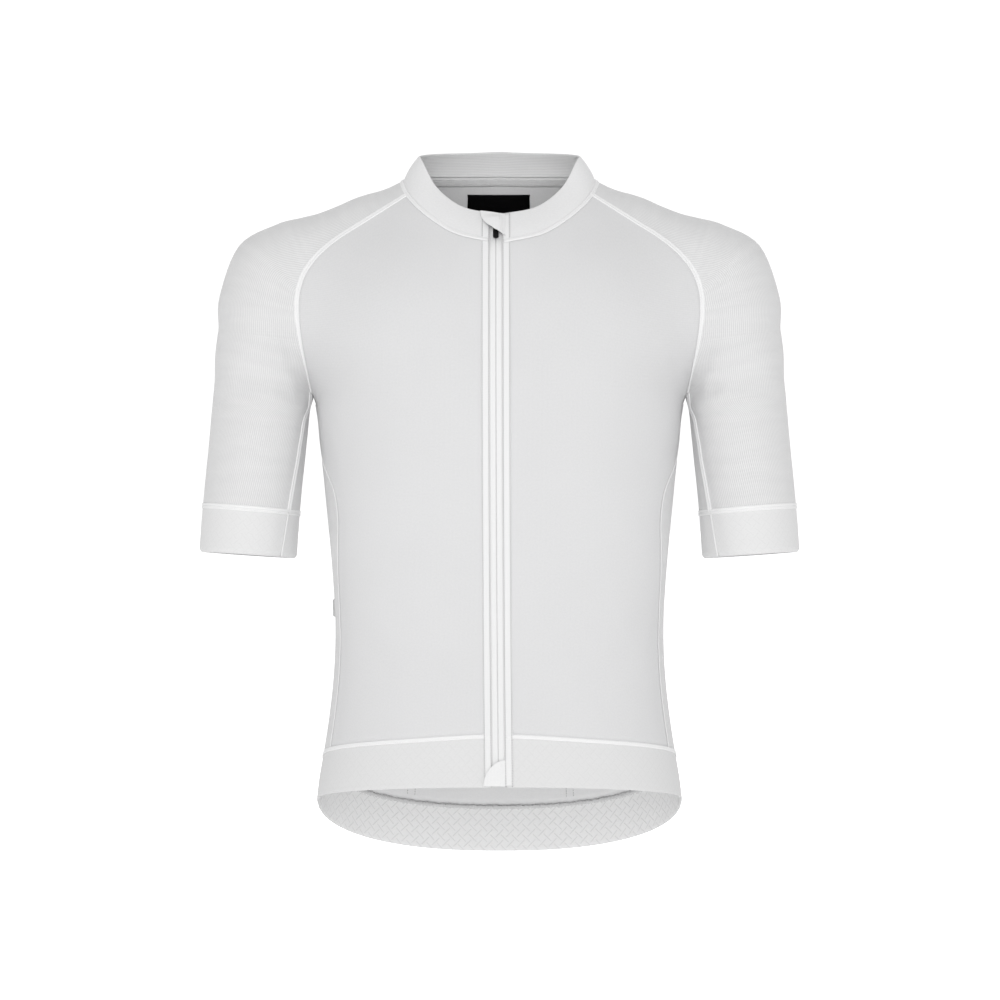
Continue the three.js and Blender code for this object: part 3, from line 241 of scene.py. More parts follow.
class Skin:
    """The smooth skin that the cloth lies on, as a signed distance."""

    armpit_blend = 5.0
    shoulder_blend = 42.0
    blend_foot = -186.0
    blend_rise = 95.0
    steps = 48
    ray_step = 3.0
    halvings = 24

    def __init__(self) -> None:
        """Reads the tables and draws the sleeve's line."""
        self.half, self.front, self.back, self.square = (column(TRUNK, 0, i) for i in range(1, 5))
        places = np.array([(row.x, row.y, row.z) for row in SLEEVE], float)
        radius = column([(i, row.radius) for i, row in enumerate(SLEEVE)])
        deep = column([(i, row.deep) for i, row in enumerate(SLEEVE)])
        at = np.linspace(0, len(SLEEVE) - 1, self.steps + 1)
        self.line, self.along = self._spline(places, at)
        self.radius, self.deep = radius(at), deep(at)

    @staticmethod
    def _spline(places: Points, at: Points) -> tuple[Points, Points]:
        """Points and directions on a centripetal curve through the places.

        Args:
            places: The places, one a row.
            at: Where on the curve, counted in places.

        Returns:
            The points there and the unit directions there.
        """
        first = 2 * places[0] - places[1]
        last = 2 * places[-1] - places[-2]
        p = np.vstack([first, places, last])
        gaps = np.sqrt(np.linalg.norm(np.diff(p, axis=0), axis=1))

        def point(value: float) -> Points:
            """The point at one place on the curve.

            Args:
                value: Where on the curve, counted in places.

            Returns:
                The point.
            """
            i = int(min(max(math.floor(value), 0), len(places) - 2))
            t = value - i
            a, b, c, d = p[i : i + 4]
            ga, gb, gc = gaps[i : i + 3]
            m1 = ((b - a) / ga - (c - a) / (ga + gb) + (c - b) / gb) * gb
            m2 = ((c - b) / gb - (d - b) / (gb + gc) + (d - c) / gc) * gb
            return bridged(b, c, m1, m2, t)

        points = np.array([point(v) for v in at])
        ahead = np.array([point(min(v + 1e-3, len(places) - 1)) for v in at])
        behind = np.array([point(max(v - 1e-3, 0)) for v in at])
        return points, unit(ahead - behind)

    def trunk_distance(self, p: Points) -> Points:
        """Distance of points from the trunk, less than nothing inside.

        Args:
            p: The points.

        Returns:
            A distance for each point.
        """
        half, square = self.half(p[:, 2]), self.square(p[:, 2])
        deep = np.where(p[:, 1] < 0, self.front(p[:, 2]), self.back(p[:, 2]))
        q = (np.abs(p[:, 0] / half) ** square + np.abs(p[:, 1] / deep) ** square) ** (1 / square)
        reach = np.hypot(p[:, 0], p[:, 1])
        return np.where(q < 1e-6, -np.minimum(half, deep), reach * (1 - 1 / np.maximum(q, 1e-6)))

    def sleeve_distance(self, p: Points) -> Points:
        """Distance of points from the sleeve on the same side.

        Args:
            p: The points.

        Returns:
            A distance for each point.
        """
        x, y, z = np.abs(p[:, 0])[:, None], p[:, 1][:, None], p[:, 2][:, None]
        a, b = self.line[:-1], self.line[1:]
        dx, dz = b[:, 0] - a[:, 0], b[:, 2] - a[:, 2]
        t = np.clip(((x - a[:, 0]) * dx + (z - a[:, 2]) * dz) / (dx * dx + dz * dz), 0, 1)
        ox = x - mix(a[:, 0], b[:, 0], t)
        oy = (y - mix(a[:, 1], b[:, 1], t)) / mix(self.deep[:-1], self.deep[1:], t)
        oz = z - mix(a[:, 2], b[:, 2], t)
        return (np.sqrt(ox**2 + oy**2 + oz**2) - mix(self.radius[:-1], self.radius[1:], t)).min(1)

    def distance(self, p: Points) -> Points:
        """Distance of points from the whole skin, less than nothing inside.

        Args:
            p: The points.

        Returns:
            A distance for each point.
        """
        trunk, sleeve = self.trunk_distance(p), self.sleeve_distance(p)
        rise = np.clip((p[:, 2] - self.blend_foot) / self.blend_rise, 0, 1)
        blend = mix(self.armpit_blend, self.shoulder_blend, rise)
        share = np.maximum(blend - np.abs(trunk - sleeve), 0) / blend
        return np.minimum(trunk, sleeve) - share * share * blend / 4

    def meet(
        self,
        starts: Points,
        ways: Points,
        furthest: Value,
        field_of: Callable[[Points], Points] | None = None,
    ) -> Points:
        """First places where rays meet the skin.

        Args:
            starts: Where the rays start.
            ways: Unit directions of the rays.
            furthest: How far each may go.
            field_of: The distance that is used, the whole skin's if none is given.

        Returns:
            The places, one for each ray.
        """
        measure = field_of or self.distance
        starts, ways = np.broadcast_arrays(np.atleast_2d(starts), np.atleast_2d(ways))
        furthest = np.broadcast_to(np.asarray(furthest, float), (len(starts),))
        sign = np.sign(measure(starts))
        near = np.zeros(len(starts))
        far = np.minimum(self.ray_step, furthest)
        going = np.ones(len(starts), bool)
        while going.any():
            p = starts[going] + ways[going] * far[going, None]
            still = (measure(p) * sign[going] > 0) & (far[going] < furthest[going])
            index = np.flatnonzero(going)
            near[index[still]] = far[index[still]]
            far[index[still]] = np.minimum(far[index[still]] + self.ray_step, furthest[index[still]])
            going[index[~still]] = False
        for _ in range(self.halvings):
            middle = (near + far) / 2
            inside = measure(starts + ways * middle[:, None]) * sign > 0
            near, far = np.where(inside, middle, near), np.where(inside, far, middle)
        return starts + ways * near[:, None]


class Edge(NamedTuple):
    """A line of points with the angle and height that place each on the trunk."""

    points: Points
    angles: Points
    heights: Points


class Pattern:
    """The coarse grids of every cloth piece, in millimetres, row by row."""

    front_columns = 10
    back_columns = 20
    sleeve_columns = 20
    side_columns = 5
    side_rows = 13
    raglan_rows = 14
    lower_sleeve_rows = 6
    collar_columns = 44
    ease_rounds = 6
    ease_amount = 0.6
    ease_above = 3
    ease_spread = 5
    trunk_reach = 185.0
    trunk_limit = 300.0
    seam_points = 81
    strip_points = 61
    hem_rounds = 4
    armpit = np.array([176.0, -6.0, -181.0])
    armpit_ease = 1.0
    front_angle = 70.0
    back_angle = 128.0
    seam_plan = Oval(90, 82, 74)
    top_plan = Oval(76, 62, 65)
    neck_middle = -8.0
    collar_crown = 1.5
    band = 42.0
    band_seam = 97.0
    hem_side = -561.0
    hem_front = -0.18
    hem_back = -0.525
    hem_rounding = 14.0
    hem_centre_rise = 0.1
    hem_centre_reach = 35.0
    zip_top_x = -3.3
    zip_hem_x = -0.7
    zip_bend = 2.5
    front_edge = 6.8
    cuff_band = 42.2
    cuff_end = -332.6
    neck_station = 0.05
    rows_bunch = 0.06
    side_bunch = 1.35
    armpit_drop = 2
    ring_bunch = 1.4
    outside = 220.0
    through = 260.0
    armpit_fade = 60.0
    collar_fade = 80.0
    join_fade = 60.0
    reach_spare = 1.12
    sleeve_reach = 120.0

    def __init__(self, skin: Skin) -> None:
        """Draws the seams that the pieces share.

        Args:
            skin: What they lie on.
        """
        self.skin = skin
        self.seam_height = column(COLLAR, 0, 1)
        self.top_height = column(COLLAR, 0, 2)
        self.zip_bottom = float(self.hem([0.0], 0)[0, 2])
        self.zip_seam = float(self.seam_height(0))
        self.zip_top = float(self.top_height(0))
        self.front_seam = self._raglan(FRONT_RAGLAN, -1, self.front_angle)
        self.back_seam = self._raglan(BACK_RAGLAN, 1, self.back_angle)
        self.side_front = self._side_seam(column(SIDE_FRONT))
        self.side_back = self._side_seam(column(SIDE_BACK))
        heights = skin.line[:, 2]
        above = np.abs(heights - self.armpit[2] + self.armpit_drop)
        self.armpit_station = int(np.argmin(above)) / skin.steps
        self.cuff_station = self._passing(self.cuff_end)
        seam_station = self._passing(self.cuff_end + self.cuff_band)
        below = self.cuff_station - self.armpit_station
        self.cuff_start = (seam_station - self.armpit_station) / below

    def _passing(self, z: float) -> float:
        """The share of the sleeve's line at which it passes a height on its way down.

        Args:
            z: The height.

        Returns:
            The share.
        """
        heights = self.skin.line[:, 2]
        i = int(np.argmax(heights < z))
        return (i - 1 + (heights[i - 1] - z) / (heights[i - 1] - heights[i])) / self.skin.steps

    def trunk(self, angles: Value, heights: Value) -> Points:
        """Points on the trunk at angles from centre front and at heights.

        Args:
            angles: Angles from centre front, in degrees.
            heights: Their heights.

        Returns:
            A point for each pair.
        """
        angles, heights = paired(angles, heights)
        turn = np.radians(angles)
        starts = np.stack([turn * 0, turn * 0, heights], 1)
        ways = np.stack([np.sin(turn), -np.cos(turn), turn * 0], 1)
        furthest = self.trunk_reach / np.maximum(np.abs(np.sin(turn)), 0.1)
        return self.skin.meet(starts, ways, np.minimum(furthest, self.trunk_limit))

    def side(self, depths: Value, heights: Value) -> Points:
        """Points on the wearer's left side of the trunk at depths and heights.

        Args:
            depths: Their depths.
            heights: Their heights.

        Returns:
            A point for each pair.
        """
        depths, heights = paired(depths, heights)
        starts = np.stack([depths * 0, depths, heights], 1)
        return self.skin.meet(starts, np.array([1.0, 0, 0]), self.trunk_limit)

    @staticmethod
    def angle_of(p: Points) -> Points:
        """Angles of points from centre front, from 0 to 360."""
        turn = np.degrees(np.arctan2(p[..., 0], -p[..., 1]))
        return np.where(turn < -1e-9, turn + 360, turn)

    def hem(self, angles: Value, above: float) -> Points:
        """Points on the trunk at angles, at a height above the hem's edge.

        Args:
            angles: Angles from centre front, in degrees.
            above: How far above the edge.

        Returns:
            A point for each angle.
        """
        angles = np.asarray(angles, float)
        off = np.minimum(np.abs(angles), np.abs(360 - angles)) / self.hem_centre_reach
        above = above * (1 + self.hem_centre_rise * np.exp(-off * off))
        p = self.trunk(angles, self.hem_side)
        for _ in range(self.hem_rounds):
            rounded = np.sqrt(p[:, 1] ** 2 + self.hem_rounding**2)
            z = self.hem_side - self.hem_front * (rounded - p[:, 1]) / 2
            p = self.trunk(angles, z + self.hem_back * (rounded + p[:, 1]) / 2 + above)
        return p

    def _oval(self, plan: Oval, angles: Points, heights: Points) -> Points:
        """Points on an oval round the neck.

        Args:
            plan: The oval.
            angles: Angles from centre front, in degrees.
            heights: Their heights.

        Returns:
            A point for each pair.
        """
        turn = np.radians(angles)
        deep = np.where(np.cos(turn) > 0, plan.front, plan.back)
        y = self.neck_middle - deep * np.cos(turn)
        return np.stack([plan.half * np.sin(turn), y, heights], -1)

    def collar_seam(self, angles: Value) -> Points:
        """Points on the collar's seam at angles from centre front.

        Args:
            angles: Angles from centre front, in degrees.

        Returns:
            A point for each angle.
        """
        angles = np.asarray(angles, float)
        away = np.minimum(np.abs(angles), np.abs(360 - angles))
        return self._oval(self.seam_plan, angles, self.seam_height(away))

    def collar_at(self, angles: Value, t: Value) -> Points:
        """Points on the collar, a share t of the way from its seam to its top edge.

        Args:
            angles: Angles from centre front, in degrees.
            t: The share, one for all or one each.

        Returns:
            A point for each angle.
        """
        angles = np.asarray(angles, float)
        away = np.minimum(np.abs(angles), np.abs(360 - angles))
        top = self._oval(self.top_plan, angles, self.top_height(away))
        turn = np.radians(angles)
        out = np.stack([np.sin(turn), -np.cos(turn), turn * 0], -1)
        t = np.asarray(t, float)
        t = t[..., None] if t.ndim else t
        return mix(self.collar_seam(angles), top, t) + out * self.collar_crown * 4 * t * (1 - t)

    def _raglan(self, table: Table, side: int, collar_angle: float) -> Points:
        """Raglan seam on the wearer's left, from the armpit up to the collar seam.

        Args:
            table: Its x and z as seen from the front or from behind, from the collar down.
            side: -1 for the front, 1 for the back.
            collar_angle: Where it meets the collar seam.

        Returns:
            Evenly spaced points.
        """
        rows = [(i, *row) for i, row in enumerate(table)]
        at = (1 - np.linspace(0, 1, self.seam_points)) * (len(rows) - 1)
        x, z = column(rows, 0, 1)(at), column(rows, 0, 2)(at)
        starts = np.stack([x, x * 0 + self.outside * side, z], 1)
        line = self.skin.meet(starts, np.array([0.0, -side, 0]), self.through)
        low, high = line[0].copy(), line[-1].copy()
        near_low = np.clip(1 - np.linalg.norm(line - low, axis=1) / self.armpit_fade, 0, 1) ** 2
        near_high = np.clip(1 - np.linalg.norm(line - high, axis=1) / self.collar_fade, 0, 1) ** 2
        line = line + (self.armpit - low) * near_low[:, None]
        line = line + (self.collar_seam([collar_angle])[0] - high) * near_high[:, None]
        return evenly(line, self.raglan_rows)

    def _side_share(self, t: Value) -> Value:
        """How high a side seam's rows are, closer together towards the armpit."""
        return 1 - (1 - t) ** self.side_bunch

    def _side_seam(self, depth: Callable[[float], float]) -> Points:
        """A side seam on the wearer's left, from the hem band up to the armpit.

        Args:
            depth: The seam's depth at a height.

        Returns:
            Points, going up.
        """
        start = self.side([float(depth(-500))], -500.0)[0]
        foot = self.hem([float(self.angle_of(start))], self.band)[0]
        t = np.linspace(0, 1, self.side_rows + 1)
        z = mix(foot[2], self.armpit[2], self._side_share(t))
        line = self.side(depth(z[1:-1]), z[1:-1])
        return np.vstack([foot, line, self.armpit])

    def _marked(self, points: Points, angles: Points | None = None) -> Edge:
        """A line of points with its angles and heights."""
        return Edge(points, self.angle_of(points) if angles is None else angles, points[:, 2])

    def _sheet(self, bottom: Edge, top: Edge, left: Edge, right: Edge) -> Points:
        """A sheet on the trunk between four lines.

        Args:
            bottom: The foot, from left to right.
            top: The top, from left to right.
            left: The left edge, going up.
            right: The right edge, going up.

        Returns:
            Points in rows going up.
        """
        rows, cols = len(left.points) - 1, len(bottom.points) - 1
        u = np.linspace(0, 1, cols + 1)[None, :]
        v = np.linspace(0, 1, rows + 1)[:, None]

        def coons(b: Points, t: Points, l: Points, r: Points) -> Points:
            """One value over the sheet, from its values along the four lines."""
            corners = mix(mix(b[0], b[-1], u), mix(t[0], t[-1], u), v)
            return mix(l[:, None], r[:, None], u) + mix(b[None], t[None], v) - corners

        angles = coons(bottom.angles, top.angles, left.angles, right.angles)
        heights = coons(bottom.heights, top.heights, left.heights, right.heights)
        grid = self.trunk(angles.ravel(), heights.ravel()).reshape(rows + 1, cols + 1, 3)
        off = [e.points - self.trunk(e.angles, e.heights) for e in (bottom, top, left, right)]
        wl, wr = ((1 - u) ** 3)[..., None], (u**3)[..., None]
        wb, wt = ((1 - v) ** 5)[..., None], (v**5)[..., None]
        grid = grid + off[2][:, None] * wl + off[3][:, None] * wr
        grid = grid + off[0][None] * wb + off[1][None] * wt
        grid = grid - off[2][0] * wl * wb - off[3][0] * wr * wb
        return grid - off[2][-1] * wl * wt - off[3][-1] * wr * wt

    def _eased(self, grid: Points) -> Points:
        """The grid with its rows above the armpit smoothed.

        Args:
            grid: Points in rows.

        Returns:
            The new grid.
        """
        rows = np.arange(1, len(grid) - 1)
        off = (rows - self.side_rows - self.ease_above) / self.ease_spread
        amount = self.ease_amount * np.exp(-(off**2))[:, None, None]
        for _ in range(self.ease_rounds):
            middle = (grid[:-2, 1:-1] + grid[2:, 1:-1] + grid[1:-1, :-2] + grid[1:-1, 2:]) / 4
            grid = grid.copy()
            grid[1:-1, 1:-1] = mix(grid[1:-1, 1:-1], middle, amount)
        return grid

    def zip_middle(self, z: Value) -> Value:
        """Where the zip's middle line is at a height."""
        down = np.maximum(self.zip_top - z, 0) / (self.zip_top - self.zip_bottom)
        return mix(self.zip_top_x, self.zip_hem_x, down**self.zip_bend)

    def front_at(self, x: Value, z: Value) -> Points:
        """Points on the front at x and z, on the collar above its seam.

        Args:
            x: Places across.
            z: Heights.

        Returns:
            A point for each pair.
        """
        x, z = (values.ravel() for values in paired(x, z))
        starts = np.stack([x, x * 0 - self.outside, z], 1)
        p = self.skin.meet(starts, np.array([0.0, 1, 0]), self.through)
        join = self.collar_seam([0.0])[0, 1] - self.trunk([0.0], self.zip_seam)[0, 1]
        near = np.clip(1 - (self.zip_seam - z) / self.join_fade, 0, 1)
        p = p + np.stack([x * 0, join * near * near * (3 - 2 * near), x * 0], 1)
        t = np.clip((z - self.zip_seam) / (self.zip_top - self.zip_seam), 0, 1)
        angles = np.degrees(np.arcsin(x / mix(self.seam_plan.half, self.top_plan.half, t)))
        c = self.collar_at(angles, t)
        c[:, 0] = x
        return np.where((z > self.zip_seam)[:, None], c, p)

    def zip_point(self, aside: Value, z: Value) -> Points:
        """Points on the front at a distance from the zip's middle."""
        return self.front_at(self.zip_middle(np.asarray(z, float)) + aside, z)

    def front(self, side: int) -> Points:
        """The front panel of one side, drawn on the wearer's left.

        Args:
            side: 1 for the wearer's left, -1 for the right.

        Returns:
            Points in rows going up.
        """
        seam = np.vstack([self.side_front, self.front_seam[1:]])
        low = float(self.hem([0.0], self.band)[0, 2])
        i = np.arange(len(seam))
        lower = mix(low, self.armpit[2], self._side_share(np.minimum(i / self.side_rows, 1)))
        upper = mix(self.armpit[2], self.zip_seam, (i - self.side_rows) / self.raglan_rows)
        edge = self.zip_point(side * self.front_edge, np.where(i <= self.side_rows, lower, upper))
        edge[:, 0] *= side
        left = self._marked(edge, np.degrees(np.arctan2(edge[:, 0], -edge[:, 1])))
        right = self._marked(seam)
        t = np.linspace(0, 1, self.front_columns + 1)
        foot = mix(left.angles[0], right.angles[0], t)
        head = mix(left.angles[-1], self.front_angle, t)
        bottom = self._closed(self.hem(foot, self.band), left, right, 0)
        top = self._closed(self.collar_seam(head), left, right, -1)
        return self._eased(self._sheet(bottom, top, left, right))

    def _closed(self, points: Points, left: Edge, right: Edge, end: int) -> Edge:
        """A line of points with its ends put on the ends of the two edges.

        Args:
            points: The line.
            left: The left edge.
            right: The right edge.
            end: 0 at the foot, -1 at the top.

        Returns:
            The line, marked.
        """
        points, angles = points.copy(), self.angle_of(points)
        points[0], points[-1] = left.points[end], right.points[end]
        angles[0], angles[-1] = left.angles[end], right.angles[end]
        return Edge(points, angles, points[:, 2])

    def side_panel(self) -> Points:
        """The side panel on the wearer's left.

        Returns:
            Points in rows going up.
        """
        a, b = self.side_front[:-1], self.side_back[:-1]
        t = np.linspace(0, 1, self.side_columns + 1)
        foot = self.hem(mix(float(self.angle_of(a[0])), float(self.angle_of(b[0])), t), self.band)
        rows = [foot]
        rows += [self.side(mix(p[1], q[1], t), mix(p[2], q[2], t)) for p, q in zip(a[1:], b[1:])]
        return np.array(rows)

    def back(self) -> Points:
        """The back panel, from the wearer's left to the right.

        Returns:
            Points in rows going up.
        """
        seam = np.vstack([self.side_back, self.back_seam[1:]])
        left, right = self._marked(seam), self._marked(seam * [-1, 1, 1])
        t = np.linspace(0, 1, self.back_columns + 1)
        foot = mix(left.angles[0], right.angles[0], t)
        head = mix(self.back_angle, 360 - self.back_angle, t)
        bottom = self._closed(self.hem(foot, self.band), left, right, 0)
        top = self._closed(self.collar_seam(head), left, right, -1)
        return self._eased(self._sheet(bottom, top, left, right))

    def _station(self, t: float) -> tuple[Points, Points, Points, Points]:
        """Place, direction, forward way and up way at a share of the sleeve's line.

        Args:
            t: The share.

        Returns:
            The four of them.
        """
        at = min(max(t, 0), 1) * self.skin.steps
        i = min(int(at), self.skin.steps - 1)
        place = mix(self.skin.line[i], self.skin.line[i + 1], at - i)
        along = unit(mix(self.skin.along[i], self.skin.along[i + 1], at - i))
        forward = unit(np.array([0.0, -1, 0]) + along * along[1])
        up = unit(np.cross(forward, along))
        return place, along, forward, up if up[2] + up[0] > 0 else -up

    @staticmethod
    def _turn_and_lean(
        way: Points, along: Points, forward: Points, up: Points
    ) -> tuple[Points, Points]:
        """How far ways turn round the sleeve's line and how far they lean along it."""
        turn = np.arctan2(-(way @ forward), way @ up)
        return turn, np.arctan2(way @ along, np.hypot(way @ up, way @ forward))

    @staticmethod
    def _fan(turn: Points, lean: Points, along: Points, forward: Points, up: Points) -> Points:
        """Ways that turn round the sleeve's line and lean along it.

        Args:
            turn: How far each turns.
            lean: How far each leans.
            along: The line's direction.
            forward: The forward way.
            up: The upward way.

        Returns:
            Unit directions.
        """
        turn, lean = np.broadcast_arrays(turn, lean)
        turn, lean = turn[:, None], lean[:, None]
        flat = up * np.cos(turn) * np.cos(lean) - forward * np.sin(turn) * np.cos(lean)
        return flat + along * np.sin(lean)

    def _sleeve_top(self) -> Points:
        """Rows of the sleeve from the collar seam to the armpit.

        Returns:
            Points in rows going down.
        """
        s = np.linspace(0, 1, self.sleeve_columns + 1)
        neck = self.collar_seam(mix(self.front_angle, self.back_angle, s))
        place, along, forward, up = self._station(self.neck_station)
        turn, lean = self._turn_and_lean(neck - place, along, forward, up)
        more_turn = turn - mix(turn[0], turn[-1], s)
        more_lean = lean - mix(lean[0], lean[-1], s)
        rows = []
        for i in range(self.raglan_rows + 1):
            t = i / self.raglan_rows
            aside = np.array([self.armpit_ease * t**8, 0, 0])
            ends = np.array([self.front_seam[-1 - i] + aside, self.back_seam[-1 - i] + aside])
            bunched = t + self.rows_bunch * math.sin(2 * math.pi * t)
            station = mix(self.neck_station, self.armpit_station, bunched)
            place, along, forward, up = self._station(station)
            turn, lean = self._turn_and_lean(ends - place, along, forward, up)
            turn[0] -= 2 * math.pi if turn[0] > 0.5 else 0
            turn[1] += 2 * math.pi if turn[1] < -0.5 else 0
            fade = (1 - t) ** 2
            turned, leant = mix(*turn, s) + more_turn * fade, mix(*lean, s) + more_lean * fade
            ways = self._fan(turned, leant, along, forward, up)
            reach = self.reach_spare * np.linalg.norm(ends - place, axis=1).max()
            row = neck if i == 0 else self.skin.meet(place, ways, reach)
            off = ends - row[[0, -1]]
            rows.append(row + off[0] * ((1 - s) ** 6)[:, None] + off[1] * (s**6)[:, None])
        return np.array(rows)

    def _ring(self, down: float) -> Points:
        """A closed ring of the sleeve, a share of the way from the armpit to the cuff's end.

        Args:
            down: The share.

        Returns:
            The ring's points.
        """
        place, along, forward, up = self._station(mix(self.armpit_station, self.cuff_station, down))
        seam = math.radians(float(column(SLEEVE_SEAM)(down)))
        turn = mix(-seam, 2 * math.pi - seam, np.linspace(0, 1, self.sleeve_columns + 1))
        ways = self._fan(turn, turn * 0, along, forward, up)
        return self.skin.meet(place, ways, self.sleeve_reach, self.skin.sleeve_distance)

    def sleeve(self) -> Points:
        """The sleeve on the wearer's left, from the collar to the cuff's seam.

        Returns:
            Points in rows going down.
        """
        shares = self.cuff_start * np.linspace(0, 1, self.lower_sleeve_rows + 1)[1:] ** self.ring_bunch
        shares[-1] = self.cuff_start
        return np.concatenate([self._sleeve_top(), [self._ring(t) for t in shares]])

    def cuff(self) -> Points:
        """The cuff on the wearer's left, from its seam to its edge."""
        return np.array([self._ring(t) for t in np.linspace(self.cuff_start, 1, 3)])

    def band_grid(self, start: float, end: float, columns: int) -> Points:
        """A hem band from its seam down to its edge, between two angles."""
        angles = np.linspace(start, end, columns + 1)
        return np.array([self.hem(angles, self.band * (1 - t)) for t in np.linspace(0, 1, 3)])

    def front_band(self, side: int) -> Points:
        """The hem band of one front, drawn on the wearer's left.

        Args:
            side: 1 for the wearer's left, -1 for the right.

        Returns:
            Points in rows going down.
        """
        edge = self.zip_middle(self.zip_bottom) * side + self.front_edge
        start = math.degrees(math.atan2(edge, float(self.skin.front(self.zip_bottom))))
        return self.band_grid(start, self.band_seam, self.front_columns + 2)

    def collar(self) -> Points:
        """The collar from one side of the zip round the back to the other.

        Returns:
            Points in rows going up.
        """
        ends = []
        for side in (1, -1):
            x = self.zip_middle(self.zip_seam) + side * self.front_edge
            ends.append(math.degrees(math.asin(x / self.seam_plan.half)))
        angles = np.linspace(ends[0], 360 + ends[1], self.collar_columns + 1)
        return np.array([self.collar_at(angles, t) for t in np.linspace(0, 1, 5)])

    def strip(self, start: float, end: float, bottom: float, top: float, columns: int = 2) -> Points:
        """A strip along the zip between two distances from its middle.

        Args:
            start: The nearer distance.
            end: The farther one.
            bottom: The height of its foot.
            top: The height of its top.
            columns: How many steps it has across.

        Returns:
            Points in rows going up.
        """
        aside = np.linspace(start, end, columns + 1)
        heights = np.linspace(bottom, top, self.strip_points)
        return np.array([self.zip_point(aside, z + aside * 0) for z in heights])


def evenly(line: Points, count: int) -> Points:
    """Points evenly spaced along a line of points.

    Args:
        line: The line.
        count: How many steps.

    Returns:
        One point more than the steps.
    """
    lengths = run_lengths(line)
    want = np.linspace(0, lengths[-1], count + 1)
    return np.stack([np.interp(want, lengths, line[:, k]) for k in range(3)], 1)


class Fold(NamedTuple):
    """A soft trough in the cloth along a line, or a ridge where its depth is below nothing."""

    start: Triple
    end: Triple
    width: float
    depth: float


class Creases:
    """All the folds that the cloth is pushed by."""

    shoulder = 0.45
    shoulder_away = 1.9
    shoulder_tight = 1.6
    depth = 1.5
    ends = (0.08, 0.92)
    fade = 1.2

    def __init__(self, folds: Iterable[Fold]) -> None:
        """Keeps the folds."""
        self.folds = list(folds)

    def at(self, p: Points) -> Points:
        """How far points are pushed out along the cloth's normals.

        Args:
            p: Places in the cloth.

        Returns:
            Millimetres outwards, one for each place.
        """
        flat = p.reshape(-1, 3)
        push = np.zeros(len(flat))
        for fold in self.folds:
            a, b = np.array(fold.start), np.array(fold.end)
            t = np.clip(((flat - a) @ (b - a)) / ((b - a) @ (b - a)), 0, 1)
            away = np.linalg.norm(flat - (a + t[:, None] * (b - a)), axis=1) / fold.width
            along = np.sin(np.pi * mix(*self.ends, t)) ** self.fade
            ridge = np.exp(-((away - self.shoulder_away) ** 2) * self.shoulder_tight)
            trough = np.exp(-(away**2)) - self.shoulder * ridge
            push -= self.depth * fold.depth * along * trough
        return push.reshape(p.shape[:-1])


def smooth_rows(
    grid: Points, per: int, corner: int | None = None, sharp: Points | None = None
) -> Points:
    """More rows on a smooth curve through the given ones.

    Args:
        grid: Points in rows.
        per: How many steps each step becomes.
        corner: A row where the curve may turn sharply.
        sharp: How sharply it turns in each column of that row, from 0 to 1.

    Returns:
        The finer rows.
    """
    ahead = np.empty_like(grid)
    ahead[1:-1] = (grid[2:] - grid[:-2]) / 2
    ahead[0], ahead[-1] = grid[1] - grid[0], grid[-1] - grid[-2]
    behind = ahead.copy()
    if corner is not None:
        share = sharp[:, None]
        behind[corner] = mix(behind[corner], grid[corner] - grid[corner - 1], share)
        ahead[corner] = mix(ahead[corner], grid[corner + 1] - grid[corner], share)
    t = (np.arange(per) / per)[None, :, None, None]
    fine = bridged(grid[:-1, None], grid[1:, None], ahead[:-1, None], behind[1:, None], t)
    return np.concatenate([fine.reshape(-1, *grid.shape[1:]), grid[-1:]])


def grid_normals(grid: Points, inside: Points) -> Points:
    """Unit normals of a grid that point away from what is inside it.

    Args:
        grid: Points in rows.
        inside: A place inside for each.

    Returns:
        A normal for each.
    """
    down, across = np.gradient(grid, axis=0), np.gradient(grid, axis=1)
    normals = unit(np.cross(down, across))
    return normals if (normals * (grid - inside)).sum(-1).mean() > 0 else -normals


def line_lengths(points: Points, axis: int) -> Points:
    """Lengths along a grid's rows or columns, from its first line.

    Args:
        points: Points in rows.
        axis: 0 down the rows, 1 across them.

    Returns:
        A length for each point.
    """
    steps = np.linalg.norm(np.diff(points, axis=axis), axis=-1)
    pad = [(0, 0), (0, 0)]
    pad[axis] = (1, 0)
    return np.pad(np.cumsum(steps, axis=axis), pad)


